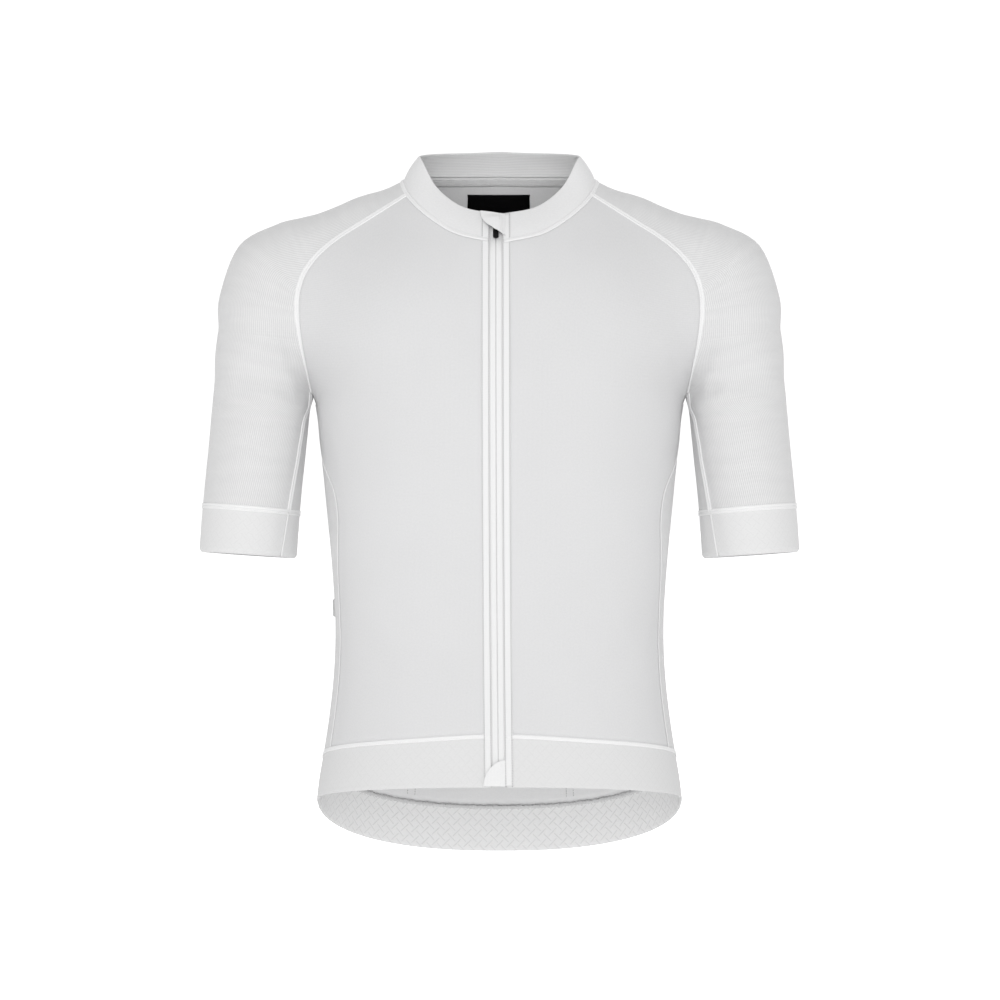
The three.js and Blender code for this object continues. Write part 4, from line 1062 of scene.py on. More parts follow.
class Surface:
    """The fine outer face of one cloth piece, with its normals and its flat places."""

    def __init__(self, grid: Points, normals: Points, zero: float = 0.0) -> None:
        """Measures the flat place of each point.

        Args:
            grid: Points in rows.
            normals: A normal for each.
            zero: The share of the way across where the flat width starts.
        """
        self.grid = grid
        self.normals = normals
        middle = int(round(zero * (grid.shape[1] - 1)))
        across = line_lengths(grid, 1)
        self.u = across - across[:, middle : middle + 1]
        self.v = np.broadcast_to(line_lengths(grid, 0)[:, middle : middle + 1], self.u.shape)

    @classmethod
    def smooth(
        cls,
        coarse: Points,
        creases: Creases,
        inside: Callable[[Points], Points],
        fine: tuple[int, int] = (5, 5),
        corner: int | None = None,
        corner_sides: tuple[bool, bool] = (False, True),
        zero: float = 0.0,
    ) -> "Surface":
        """A fine creased face through a coarse grid.

        Args:
            coarse: Points in rows.
            creases: The folds that push it.
            inside: Gives a place inside the cloth for each point.
            fine: How many steps each row's and column's step becomes.
            corner: A row where the face's edges may turn sharply.
            corner_sides: Whether they turn at the first and at the last column.
            zero: The share of the way across where the flat width starts.

        Returns:
            The face.
        """
        u = np.linspace(0, 1, coarse.shape[1])
        sharp = np.maximum(u**8 * corner_sides[1], (1 - u) ** 8 * corner_sides[0])
        rows = smooth_rows(coarse, fine[0], corner, sharp)
        grid = smooth_rows(rows.transpose(1, 0, 2), fine[1]).transpose(1, 0, 2)
        grid = grid + grid_normals(grid, inside(grid)) * creases.at(grid)[..., None]
        return cls(grid, grid_normals(grid, inside(grid)), zero)

    def patch(self, rows: Points, cols: Points, lift: Value = 0.0, zero: float = 0.0) -> "Surface":
        """A face laid on this one, at a grid of its fine rows and columns."""
        return Surface(self.at(rows, cols, lift), self.normal(rows, cols), zero)

    def at(self, row: Points, col: Points, lift: Value = 0.0) -> Points:
        """Places on the face at fine rows and columns, raised along its normals.

        Args:
            row: Fine rows, also between two.
            col: Fine columns, also between two.
            lift: How far they are raised.

        Returns:
            The places.
        """
        row = np.clip(row, 0, len(self.grid) - 1)
        col = np.clip(col, 0, self.grid.shape[1] - 1)
        i = np.minimum(row.astype(int), len(self.grid) - 2)
        j = np.minimum(col.astype(int), self.grid.shape[1] - 2)
        s, t = (col - j)[..., None], (row - i)[..., None]
        lift = np.asarray(lift, float)
        lift = lift[..., None] if lift.ndim else lift

        def blend(a: Points) -> Points:
            """Values between those of the four nearest points."""
            return mix(mix(a[i, j], a[i, j + 1], s), mix(a[i + 1, j], a[i + 1, j + 1], s), t)

        return blend(self.grid) + unit(blend(self.normals)) * lift

    def normal(self, row: Points, col: Points) -> Points:
        """Normals of the face at fine rows and columns.

        Args:
            row: Fine rows, also between two.
            col: Fine columns, also between two.

        Returns:
            The normals.
        """
        i = np.clip(np.round(row).astype(int), 0, len(self.grid) - 1)
        j = np.clip(np.round(col).astype(int), 0, self.grid.shape[1] - 1)
        return self.normals[i, j]


class Piece:
    """Makes finished mesh objects that ride on a body of the part."""

    @staticmethod
    def add(
        name: str,
        vertices: Points,
        faces: Sequence[Sequence[int]],
        materials: Sequence[Material],
        body: str = "jersey",
        uv: Points | None = None,
        second: Marks | None = None,
    ) -> Thing:
        """A mesh object in the part's frame.

        Args:
            name: Its name.
            vertices: Places in millimetres.
            faces: Vertex numbers of each face.
            materials: One material, or one for each kind of face.
            body: The body it rides on.
            uv: Flat place of each vertex, in metres.
            second: Which faces have the second material.

        Returns:
            The object.
        """
        mesh = bpy.data.meshes.new(name)
        mesh.from_pydata((vertices * 0.001).tolist(), [], [tuple(map(int, f)) for f in faces])
        for material in materials:
            mesh.materials.append(material)
        mesh.polygons.foreach_set("use_smooth", [True] * len(mesh.polygons))
        if second is not None:
            mesh.polygons.foreach_set("material_index", second.astype(int).tolist())
        if uv is not None:
            layer = mesh.uv_layers.new(name="cloth")
            index = np.empty(len(mesh.loops), int)
            mesh.loops.foreach_get("vertex_index", index)
            layer.data.foreach_set("uv", uv[index].ravel().astype(np.float32))
        mesh.update()
        thing = bpy.data.objects.new(name, mesh)
        bpy.context.scene.collection.objects.link(thing)
        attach(thing, body)
        triangles = sum(len(p.vertices) - 2 for p in mesh.polygons)
        log.info("%s: %d triangles", name, triangles)
        return thing

    @staticmethod
    def outward(vertices: Points, faces: Faces) -> Faces:
        """The faces of a closed mesh, turned so that they point out.

        Args:
            vertices: The mesh's vertices.
            faces: Its faces.

        Returns:
            All the faces, turned or as they were.
        """
        volume = 0.0
        for f in faces:
            for a, b in zip(f[1:-1], f[2:]):
                volume += float(np.dot(vertices[f[0]], np.cross(vertices[a], vertices[b])))
        return faces if volume > 0 else [f[::-1] for f in faces]


@dataclass
class Shell:
    """A thin closed wall of cloth behind a face, with rounded free edges."""

    wall: float = 1.0
    lift: float = 0.0
    round_top: bool = False
    round_foot: bool = False
    edge_steps: int = 3

    def mesh(
        self, surface: Surface, lifts: Points | None = None
    ) -> tuple[Points, Faces, Points, Marks]:
        """The wall's mesh.

        Args:
            surface: Its outer face.
            lifts: More lift for each place, if it isn't the same all over.

        Returns:
            Vertices, faces, flat places and which faces are the inner ones.
        """
        lift = self.lift + (0 if lifts is None else lifts[..., None])
        outer = surface.grid + surface.normals * lift
        inner = outer - surface.normals * self.wall
        flat = np.stack([surface.u, surface.v], -1)
        rows = [*outer]
        flats = [*flat]
        if self.round_top:
            rows += self._edge(outer[-1], outer[-2], surface.normals[-1])
            flats += [flat[-1]] * self.edge_steps
        turn = len(rows)
        rows += [*inner[::-1]]
        flats += [*flat[::-1]]
        if self.round_foot:
            rows += self._edge(outer[0], outer[1], surface.normals[0])[::-1]
            flats += [flat[0]] * self.edge_steps
        points = np.array(rows)
        count, cols = points.shape[:2]
        vertices = points.reshape(-1, 3)
        faces, second = [], []
        for i in range(count):
            k = (i + 1) % count
            for j in range(cols - 1):
                faces.append([i * cols + j, i * cols + j + 1, k * cols + j + 1, k * cols + j])
                second.append(turn <= i < turn + len(outer) - 1)
        for j in (0, cols - 1):
            ring = [i * cols + j for i in range(count)]
            for cap in self._caps(ring, len(outer), turn):
                faces.append(cap if j == 0 else cap[::-1])
                second.append(False)
        body = Piece.outward(vertices, faces)
        return vertices, body, np.array(flats).reshape(-1, 2) * 0.001, np.array(second)

    def _edge(self, edge: Points, before: Points, normals: Points) -> list[Points]:
        """Rows that round an edge off, from the outer face to the inner one.

        Args:
            edge: The outer face's last row.
            before: The row before it.
            normals: The edge's normals.

        Returns:
            The rows between both faces.
        """
        ahead = unit(edge - before)
        middle = edge - normals * self.wall / 2
        angles = np.pi * (np.arange(self.edge_steps) + 1) / (self.edge_steps + 1)
        half = self.wall / 2
        return [middle + normals * math.cos(a) * half + ahead * math.sin(a) * half for a in angles]

    @staticmethod
    def _caps(ring: list[int], rows: int, turn: int) -> Faces:
        """Faces that close the wall at one end of its rows.

        Args:
            ring: Vertex numbers round the wall.
            rows: How many rows the outer face has.
            turn: Where the inner face starts.

        Returns:
            The faces.
        """
        faces = []
        for i in range(rows - 1):
            faces.append([ring[i], ring[i + 1], ring[turn + rows - 2 - i], ring[turn + rows - 1 - i]])
        top = ring[rows - 1 : turn + 1]
        foot = [*ring[turn + rows - 1 :], ring[0]]
        return faces + [loop for loop in (top, foot) if len(loop) > 2]


def sweep(
    line: Points, normals: Points, section: Points, swell: Points | None = None
) -> tuple[Points, Faces]:
    """A closed bar with one section along a line.

    Args:
        line: Points of the line.
        normals: The way up at each point.
        section: Places across and up, going round.
        swell: How much larger the section is at each point.

    Returns:
        Vertices and faces.
    """
    along = unit(np.gradient(line, axis=0))
    across = unit(np.cross(normals, along))
    up = np.cross(along, across)
    size = np.ones(len(line)) if swell is None else swell
    a = section[None, :, 0, None] * size[:, None, None] * across[:, None]
    b = section[None, :, 1, None] * size[:, None, None] * up[:, None]
    vertices = (line[:, None] + a + b).reshape(-1, 3)
    n, m = len(line), len(section)
    faces = [
        [i * m + j, i * m + (j + 1) % m, (i + 1) * m + (j + 1) % m, (i + 1) * m + j]
        for i in range(n - 1)
        for j in range(m)
    ]
    faces += [list(range(m))[::-1], [(n - 1) * m + j for j in range(m)]]
    return vertices, Piece.outward(vertices, faces)


class Sock:
    """A shader value that adds, multiplies and compares as a number does."""

    def __init__(self, tree: bpy.types.NodeTree, socket: bpy.types.NodeSocket) -> None:
        """Wraps a socket of a tree."""
        self.tree = tree
        self.socket = socket

    def math(self, operation: str, *others: "Sock | float") -> "Sock":
        """The result of one Math node.

        Args:
            operation: The node's operation.
            others: Its other inputs.

        Returns:
            The result.
        """
        node = self.tree.nodes.new("ShaderNodeMath")
        node.operation = operation
        for place, value in enumerate((self, *others)):
            if isinstance(value, Sock):
                self.tree.links.new(value.socket, node.inputs[place])
            else:
                node.inputs[place].default_value = value
        return Sock(self.tree, node.outputs[0])

    def __add__(self, other: "Sock | float") -> "Sock":
        """The sum."""
        return self.math("ADD", other)

    def __sub__(self, other: "Sock | float") -> "Sock":
        """The difference."""
        return self.math("SUBTRACT", other)

    def __mul__(self, other: "Sock | float") -> "Sock":
        """The product."""
        return self.math("MULTIPLY", other)

    def __truediv__(self, other: "Sock | float") -> "Sock":
        """The quotient."""
        return self.math("DIVIDE", other)

    def __pow__(self, other: "Sock | float") -> "Sock":
        """The power."""
        return self.math("POWER", other)

    def wave(self, pitch: float) -> "Sock":
        """A wave from 0 to 1 that repeats every pitch."""
        return (self * (2 * math.pi / pitch)).math("SINE") * 0.5 + 0.5

    def limited(self) -> "Sock":
        """The value kept from 0 to 1."""
        return self.math("MAXIMUM", 0.0).math("MINIMUM", 1.0)

    def step(self, low: float, high: float) -> "Sock":
        """0 at low and 1 at high, smooth between and level beyond."""
        t = ((self - low) * (1 / (high - low))).limited()
        return t * t * (t * -2.0 + 3.0)


class Space(Enum):
    """What a pattern follows."""

    OBJECT = "Object"
    CLOTH = "UV"


class Shader:
    """A principled material and the values that vary over it."""

    def __init__(self, name: str) -> None:
        """Starts a material with its principled surface.

        Args:
            name: The material's name.
        """
        self.material = bpy.data.materials.new(name)
        self.material.use_nodes = True
        self.tree = self.material.node_tree
        self.surface = self.tree.nodes["Principled BSDF"]

    def node(
        self, kind: str, inputs: dict[str, object] | None = None, **settings: object
    ) -> bpy.types.Node:
        """A node with its inputs and settings.

        Args:
            kind: The node's type.
            inputs: Values or sockets by the input's name.
            settings: Its other settings.

        Returns:
            The node.
        """
        node = self.tree.nodes.new(kind)
        for key, value in settings.items():
            setattr(node, key, value)
        for key, value in (inputs or {}).items():
            if isinstance(value, Sock):
                self.tree.links.new(value.socket, node.inputs[key])
            else:
                node.inputs[key].default_value = value
        return node

    def place(self, space: Space) -> bpy.types.NodeSocket:
        """The coordinates of the chosen space, in metres."""
        return self.node("ShaderNodeTexCoord").outputs[space.value]

    def along(self, space: Space) -> tuple[Sock, Sock, Sock]:
        """The coordinates of the chosen space as three values in millimetres.

        Args:
            space: What they follow.

        Returns:
            Across, along and up.
        """
        parts = self.node("ShaderNodeSeparateXYZ")
        self.tree.links.new(self.place(space), parts.inputs[0])
        x, y, z = (Sock(self.tree, out) * 1000.0 for out in parts.outputs)
        return x, y, z

    def grain(self, space: Space, size: float, detail: float = 2.0, stretch: Pair = (1, 1)) -> Sock:
        """Soft noise with grains of a size in millimetres.

        Args:
            space: What it follows.
            size: About how wide a grain is.
            detail: How many finer layers it has.
            stretch: How much longer the grains are across and along.

        Returns:
            Noise about 0.5.
        """
        scale = (1 / stretch[0], 1 / stretch[1], 1 / stretch[1])
        moved = self.node("ShaderNodeMapping", {"Scale": scale})
        self.tree.links.new(self.place(space), moved.inputs[0])
        noise = self.node("ShaderNodeTexNoise", {"Scale": 1000 / size, "Detail": detail})
        self.tree.links.new(moved.outputs[0], noise.inputs["Vector"])
        return Sock(self.tree, noise.outputs["Fac"])

    def tone(self, low: Triple, high: Triple, share: Sock) -> None:
        """Gives the surface a colour between two, by a share.

        Args:
            low: The colour at 0.
            high: The colour at 1.
            share: The share.
        """
        blend = self.node("ShaderNodeMix", data_type="RGBA")
        colours = [s for s in blend.inputs if s.type == "RGBA"]
        colours[0].default_value = (*low, 1)
        colours[1].default_value = (*high, 1)
        self.tree.links.new(share.socket, blend.inputs[0])
        result = next(s for s in blend.outputs if s.type == "RGBA")
        self.tree.links.new(result, self.surface.inputs["Base Color"])

    def relief(self, height: Sock, depth: float, strength: float = 1.0) -> None:
        """Gives the surface a fine relief.

        Args:
            height: The relief from 0 to 1.
            depth: How deep it is, in millimetres.
            strength: How much of it shows.
        """
        inputs = {"Height": height, "Distance": depth * 0.001, "Strength": strength}
        bump = self.node("ShaderNodeBump", inputs)
        self.tree.links.new(bump.outputs[0], self.surface.inputs["Normal"])

    def rough(self, low: float, high: float, share: Sock) -> None:
        """Gives the surface a roughness between two, by a share."""
        value = share * (high - low) + low
        self.tree.links.new(value.socket, self.surface.inputs["Roughness"])

    def fixed(self, **values: float) -> None:
        """Sets values that are the same all over, by their names with underscores."""
        for key, value in values.items():
            self.surface.inputs[key.replace("_", " ")].default_value = value


@dataclass(frozen=True)
class Knit:
    """The fine smooth knit of the fronts, the back and the pockets."""

    name: str = "smooth_knit"
    dark: Triple = (0.66, 0.66, 0.665)
    light: Triple = (0.755, 0.755, 0.76)
    wale: float = 1.15
    course: float = 1.0

    def material(self) -> Material:
        """The finished material.

        Returns:
            The material.
        """
        shader = Shader(self.name)
        u, v, _ = shader.along(Space.CLOTH)
        loops = u.wave(self.wale) * (v + u.wave(self.wale) * 0.4).wave(self.course)
        grain = shader.grain(Space.CLOTH, 1.7, 3.0)
        cloud = shader.grain(Space.OBJECT, 60, 1.0)
        shader.tone(self.dark, self.light, (loops * 0.5 + grain * 0.7 + cloud * 0.25 - 0.25).limited())
        shader.relief(loops * 0.7 + grain * 0.6, 0.12, 0.5)
        shader.rough(0.72, 0.86, grain)
        shader.fixed(Sheen_Weight=0.25, Sheen_Roughness=0.4, Specular_IOR_Level=0.25)
        return shader.material


@dataclass(frozen=True)
class Rib:
    """The ribbed knit of the sleeves and side panels, with ribs along the cloth."""

    name: str = "ribbed_knit"
    dark: Triple = (0.61, 0.61, 0.615)
    light: Triple = (0.81, 0.81, 0.81)
    pitch: float = 1.9
    course: float = 1.1
    level: bool = False

    def material(self) -> Material:
        """The finished material.

        Returns:
            The material.
        """
        shader = Shader(self.name)
        u, v, _ = shader.along(Space.CLOTH)
        u, v = (v, u) if self.level else (u, v)
        rib = u.wave(self.pitch) ** 0.7
        course = v.wave(self.course)
        grain = shader.grain(Space.CLOTH, 1.3, 2.0)
        band = shader.grain(Space.CLOTH, 9, 1.0, (6, 1))
        share = rib * 0.62 + course * 0.1 + grain * 0.28 + band * 0.3 - 0.16
        shader.tone(self.dark, self.light, share.limited())
        shader.relief(rib * 0.8 + course * 0.12 + grain * 0.2, 0.35, 0.6)
        shader.rough(0.7, 0.86, grain)
        shader.fixed(Sheen_Weight=0.2, Sheen_Roughness=0.4, Specular_IOR_Level=0.25)
        return shader.material


class Weave(Enum):
    """How strongly the elastic band's diagonal weave shows."""

    FAINT = 0.25
    STRONG = 1.0


@dataclass(frozen=True)
class Elastic:
    """The dense elastic of cuffs and hem bands, woven in crossing diagonal dashes."""

    name: str = "elastic"
    dark: Triple = (0.585, 0.585, 0.59)
    light: Triple = (0.77, 0.77, 0.77)
    cell: float = 6.4
    line: float = 0.07
    weave: Weave = Weave.FAINT

    def material(self) -> Material:
        """The finished material.

        Returns:
            The material.
        """
        shader = Shader(self.name)
        u, v, _ = shader.along(Space.CLOTH)
        a, b = (u + v) * (0.7071 / self.cell), (u - v) * (0.7071 / self.cell)
        turn = (a.math("FLOOR") + b.math("FLOOR")).math("MODULO", 2.0).math("ABSOLUTE").step(0.4, 0.6)
        near_a = (a.math("FRACT") - 0.5).math("ABSOLUTE")
        near_b = (b.math("FRACT") - 0.5).math("ABSOLUTE")
        line_a, line_b = (near.step(self.line, self.line * 0.3) for near in (near_b, near_a))
        ends_a, ends_b = (near.step(0.27, 0.33) for near in (near_a, near_b))
        other = turn * -1.0 + 1.0
        lines = (line_a * (turn + other * ends_a) + line_b * (other + turn * ends_b)).limited()
        dash = lines * -1.0 + 1.0
        grain = shader.grain(Space.CLOTH, 1.2, 2.0)
        strength = self.weave.value
        share = dash * (0.6 * strength) + grain * 0.35 + (0.72 - 0.6 * strength)
        shader.tone(self.dark, self.light, share.limited())
        shader.relief(dash * strength + grain * 0.2, 0.4, 0.6)
        shader.rough(0.66, 0.82, grain)
        shader.fixed(Sheen_Weight=0.15, Specular_IOR_Level=0.3)
        return shader.material


@dataclass(frozen=True)
class Tape:
    """Closely woven tape with a fine twill."""

    name: str = "tape"
    dark: Triple = (0.71, 0.71, 0.715)
    light: Triple = (0.88, 0.88, 0.88)
    pitch: float = 0.8

    def material(self) -> Material:
        """The finished material.

        Returns:
            The material.
        """
        shader = Shader(self.name)
        u, v, _ = shader.along(Space.CLOTH)
        twill = (u + v * 0.8).wave(self.pitch)
        cord = u.wave(self.pitch * 1.6)
        grain = shader.grain(Space.CLOTH, 1.6, 2.0)
        shader.tone(self.dark, self.light, (twill * 0.3 + cord * 0.2 + grain * 0.5 + 0.1).limited())
        shader.relief(twill * 0.5 + cord * 0.4 + grain * 0.2, 0.12, 0.5)
        shader.rough(0.66, 0.84, grain)
        shader.fixed(Sheen_Weight=0.15, Specular_IOR_Level=0.3)
        return shader.material


@dataclass(frozen=True)
class SeamThread:
    """Flat-lock seam thread, in close slanting turns."""

    name: str = "seam_thread"
    dark: Triple = (0.78, 0.78, 0.785)
    light: Triple = (0.93, 0.93, 0.93)
    pitch: float = 1.3

    def material(self) -> Material:
        """The finished material.

        Returns:
            The material.
        """
        shader = Shader(self.name)
        u, v, _ = shader.along(Space.CLOTH)
        turns = (v + u * 0.45).wave(self.pitch)
        grain = shader.grain(Space.CLOTH, 1.1, 2.0)
        shader.tone(self.dark, self.light, (turns * 0.35 + grain * 0.5 + 0.15).limited())
        shader.relief(turns * 0.7 + grain * 0.3, 0.2, 0.6)
        shader.rough(0.62, 0.8, grain)
        shader.fixed(Sheen_Weight=0.15, Specular_IOR_Level=0.3)
        return shader.material


@dataclass(frozen=True)
class Thread:
    """Twisted sewing thread."""

    name: str = "thread"
    dark: Triple = (0.7, 0.7, 0.705)
    light: Triple = (0.92, 0.92, 0.92)

    def material(self) -> Material:
        """The finished material.

        Returns:
            The material.
        """
        shader = Shader(self.name)
        x, y, z = shader.along(Space.OBJECT)
        twist = (x + y * 0.6 + z).wave(0.45)
        grain = shader.grain(Space.OBJECT, 0.8, 1.0)
        shader.tone(self.dark, self.light, (twist * 0.4 + grain * 0.6).limited())
        shader.relief(twist, 0.05, 0.5)
        shader.rough(0.5, 0.7, grain)
        shader.fixed(Sheen_Weight=0.1)
        return shader.material


@dataclass(frozen=True)
class Moulded:
    """A hard moulded or painted finish with faint wear."""

    name: str
    dark: Triple
    light: Triple
    roughness: Pair = (0.32, 0.5)
    metallic: float = 0.0
    coat: float = 0.0
    shine: float = 0.5

    def material(self) -> Material:
        """The finished material.

        Returns:
            The material.
        """
        shader = Shader(self.name)
        grain = shader.grain(Space.OBJECT, 0.6, 3.0)
        wear = shader.grain(Space.OBJECT, 3.0, 2.0)
        shader.tone(self.dark, self.light, (grain * 0.5 + wear * 0.6 - 0.05).limited())
        shader.relief(grain, 0.015, 0.4)
        shader.rough(*self.roughness, wear.step(0.35, 0.65))
        shader.fixed(Metallic=self.metallic, Coat_Weight=self.coat, Coat_Roughness=0.25)
        shader.fixed(Specular_IOR_Level=self.shine)
        return shader.material


@dataclass(frozen=True)
class LabelCloth:
    """Smooth black label cloth with a fine satin weave."""

    name: str = "label_cloth"
    dark: Triple = (0.001, 0.001, 0.0012)
    light: Triple = (0.004, 0.004, 0.0044)

    def material(self) -> Material:
        """The finished material.

        Returns:
            The material.
        """
        shader = Shader(self.name)
        u, v, _ = shader.along(Space.CLOTH)
        weave = (u + v * 0.5).wave(0.7) * 0.5 + v.wave(0.55) * 0.5
        grain = shader.grain(Space.CLOTH, 2.0, 2.0)
        shader.tone(self.dark, self.light, (weave * 0.5 + grain * 0.5).limited())
        shader.relief(weave, 0.05, 0.5)
        shader.rough(0.75, 0.9, grain)
        shader.fixed(Specular_IOR_Level=0.05)
        return shader.material


class Finishes:
    """Every finish of the jersey, made once."""

    def __init__(self) -> None:
        """Makes all of them."""
        self.knit = Knit().material()
        self.rib = Rib().material()
        self.cuff = Elastic("cuff_elastic").material()
        band = Elastic("hem_elastic", (0.565, 0.565, 0.57), (0.735, 0.735, 0.735))
        self.band = band.material()
        grip = Elastic("hem_grip", (0.64, 0.64, 0.645), (0.88, 0.88, 0.88), 7.4, 0.05, Weave.STRONG)
        self.grip = grip.material()
        # The collar's own finer knit, in a lighter tone than the body's knit: painted light that makes
        # up for the shade on its up-facing front.
        collar = Knit("collar_knit", (0.74, 0.74, 0.745), (0.87, 0.87, 0.87), 0.9, 0.8)
        self.collar = collar.material()
        self.tape = Tape().material()
        self.thread = Thread().material()
        self.fine_thread = Thread("fine_thread", (0.34, 0.34, 0.345), (0.5, 0.5, 0.5)).material()
        overlock = Thread("overlock_thread", (0.46, 0.46, 0.465), (0.78, 0.78, 0.78))
        self.overlock = overlock.material()
        # The back's inner face, with its own coarser loops, in a lighter tone than the outer knit:
        # partly the fabric's inner face, partly painted light for the shaded inside of the back.
        inside = Knit("knit_inside", (0.78, 0.78, 0.785), (0.88, 0.88, 0.88), 1.3, 1.2)
        self.knit_inside = inside.material()
        self.seam = SeamThread().material()
        lining = Rib("collar_inside", (0.78, 0.78, 0.785), (0.97, 0.97, 0.97), 1.7, 1.0, True)
        self.collar_inside = lining.material()
        self.coil = Moulded("coil_plastic", (0.72, 0.72, 0.72), (0.84, 0.84, 0.84)).material()
        paint = Moulded("slider_paint", (0.7, 0.7, 0.7), (0.84, 0.84, 0.84), coat=0.3)
        self.slider = paint.material()
        black = ((0.003, 0.003, 0.0032), (0.009, 0.009, 0.0095))
        self.pull = Moulded("pull_black", *black, (0.5, 0.65), shine=0.2).material()
        self.label = LabelCloth().material()


def mirrored_folds(folds: Iterable[Fold], change: float = 0.9) -> list[Fold]:
    """The folds with similar ones on the other side of the jersey.

    Args:
        folds: The folds of one side.
        change: How deep the others are beside them.

    Returns:
        Both sides' folds.
    """
    both = list(folds)
    for fold in list(both):
        start, end = ((-p[0], p[1], p[2] - 3) for p in (fold.start, fold.end))
        both.append(Fold(start, end, fold.width * 1.05, fold.depth * change))
    return both


FRONT_FOLDS = (
    Fold((181, -32, -176), (140, -108, -196), 6.5, 1.3),
    Fold((180, -34, -188), (150, -104, -232), 7.5, 1.1),
    Fold((176, -50, -160), (150, -100, -128), 7.0, 0.8),
    Fold((172, -40, -214), (160, -82, -290), 9.0, 0.8),
    Fold((148, -70, -395), (96, -104, -452), 13.0, 0.9),
    Fold((150, -62, -440), (110, -100, -470), 12.0, 0.7),
    Fold((60, -118, -420), (20, -112, -500), 15.0, 0.5),
)
BACK_FOLDS = (
    Fold((181, 24, -172), (138, 104, -190), 7.0, 1.4),
    Fold((180, 26, -190), (146, 98, -240), 8.0, 1.2),
    Fold((176, 40, -150), (140, 100, -96), 8.0, 0.9),
    Fold((150, 52, -330), (90, 92, -372), 14.0, 1.2),
    Fold((150, 50, -362), (60, 92, -344), 12.0, 0.9),
    Fold((120, 80, -300), (30, 104, -322), 16.0, 0.9),
    Fold((140, 66, -404), (104, 84, -440), 11.0, 0.7),
)
SLEEVE_FOLDS = (
    Fold((186, -14, -186), (206, -56, -172), 6.0, 1.2),
    Fold((186, 6, -190), (208, 48, -176), 6.5, 1.2),
    Fold((190, -10, -202), (222, -54, -216), 8.0, 0.9),
    Fold((190, 10, -206), (224, 52, -224), 8.0, 0.9),
    Fold((262, -30, -150), (276, 10, -176), 12.0, 0.6),
    Fold((258, 22, -128), (270, 46, -158), 11.0, 0.6),
)


@dataclass
class Cloths:
    """Every face that cloth lies on, from the pattern."""

    pattern: Pattern
    creases: Creases

    def trunk_inside(self, p: Points) -> Points:
        """Places on the trunk's upright middle line."""
        return p * [0, 0, 1]

    def sleeve_inside(self, p: Points) -> Points:
        """Places on the sleeve's middle line.

        Args:
            p: The points.

        Returns:
            A place for each point.
        """
        side = 1 if p[..., 0].mean() > 0 else -1
        line = self.pattern.skin.line * [side, 1, 1]
        flat = p.reshape(-1, 3)
        near = np.linalg.norm(flat[:, None] - line[None], axis=2).argmin(1)
        return line[near].reshape(p.shape)

    def panel(
        self, coarse: Points, zero: float = 0.0, corner: bool = True, both: bool = False
    ) -> Surface:
        """A face of the trunk through a coarse grid.

        Args:
            coarse: Points in rows.
            zero: Where the flat width starts.
            corner: Whether the last column turns at the armpit.
            both: Whether the first column turns there too.

        Returns:
            The face.
        """
        at = self.pattern.side_rows if corner else None
        sides = (both, True)
        return Surface.smooth(coarse, self.creases, self.trunk_inside, (5, 5), at, sides, zero)

    def sleeve(self, side: int) -> Surface:
        """The face of one sleeve.

        Args:
            side: 1 for the wearer's left, -1 for the right.

        Returns:
            The face.
        """
        coarse = self.pattern.sleeve() * [side, 1, 1]
        corner = self.pattern.raglan_rows
        turns = (True, True)
        return Surface.smooth(
            coarse, self.creases, self.sleeve_inside, (6, 7), corner, turns, 0.5
        )

    def cuff(self, side: int) -> Surface:
        """The face of one cuff."""
        coarse = self.pattern.cuff() * [side, 1, 1]
        return Surface.smooth(coarse, self.creases, self.sleeve_inside, (9, 7), zero=0.5)

    def band(self, coarse: Points) -> Surface:
        """The face of a hem band."""
        return Surface.smooth(coarse, self.creases, self.trunk_inside, (9, 5), zero=0.5)


@dataclass(frozen=True)
class Cut:
    """The flat cut of a piece of cloth, in metres and square metres."""

    width: float
    length: float
    area: float


@dataclass
class ClothPiece:
    """One sewn piece: its node, its slot, its wall and its cut."""

    node: str
    slot: str
    shell: Shell
    cut: Cut | None = None
    trims: tuple[str, ...] = ()

    def build(
        self,
        surface: Surface,
        outside: Material,
        inside: Material | None = None,
        lifts: Points | None = None,
    ) -> Thing:
        """Makes the piece in place of its solid.

        Args:
            surface: Its outer face.
            outside: The finish of the outer face.
            inside: The finish of the inner face, if it is another.
            lifts: More lift for each place of the face.

        Returns:
            The piece.
        """
        vertices, faces, uv, second = self.shell.mesh(surface, lifts)
        kinds = [outside] if inside is None else [outside, inside]
        mark = None if inside is None else second
        thing = Piece.add(f"{self.node}_cloth", vertices, faces, kinds, uv=uv, second=mark)
        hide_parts(self.node)
        self._report(surface)
        return thing

    def _report(self, surface: Surface) -> None:
        """Logs the size that the piece has as worn.

        Args:
            surface: Its outer face.
        """
        a = surface.grid[1:, 1:] - surface.grid[:-1, :-1]
        b = surface.grid[1:, :-1] - surface.grid[:-1, 1:]
        area = np.linalg.norm(np.cross(a, b), axis=-1).sum() / 2e6
        width = np.ptp(surface.u, axis=1).max() / 1000
        length = line_lengths(surface.grid, 0)[-1].max() / 1000
        log.info("%s worn: %.3f x %.3f m, %.4f square metres", self.node, width, length, area)


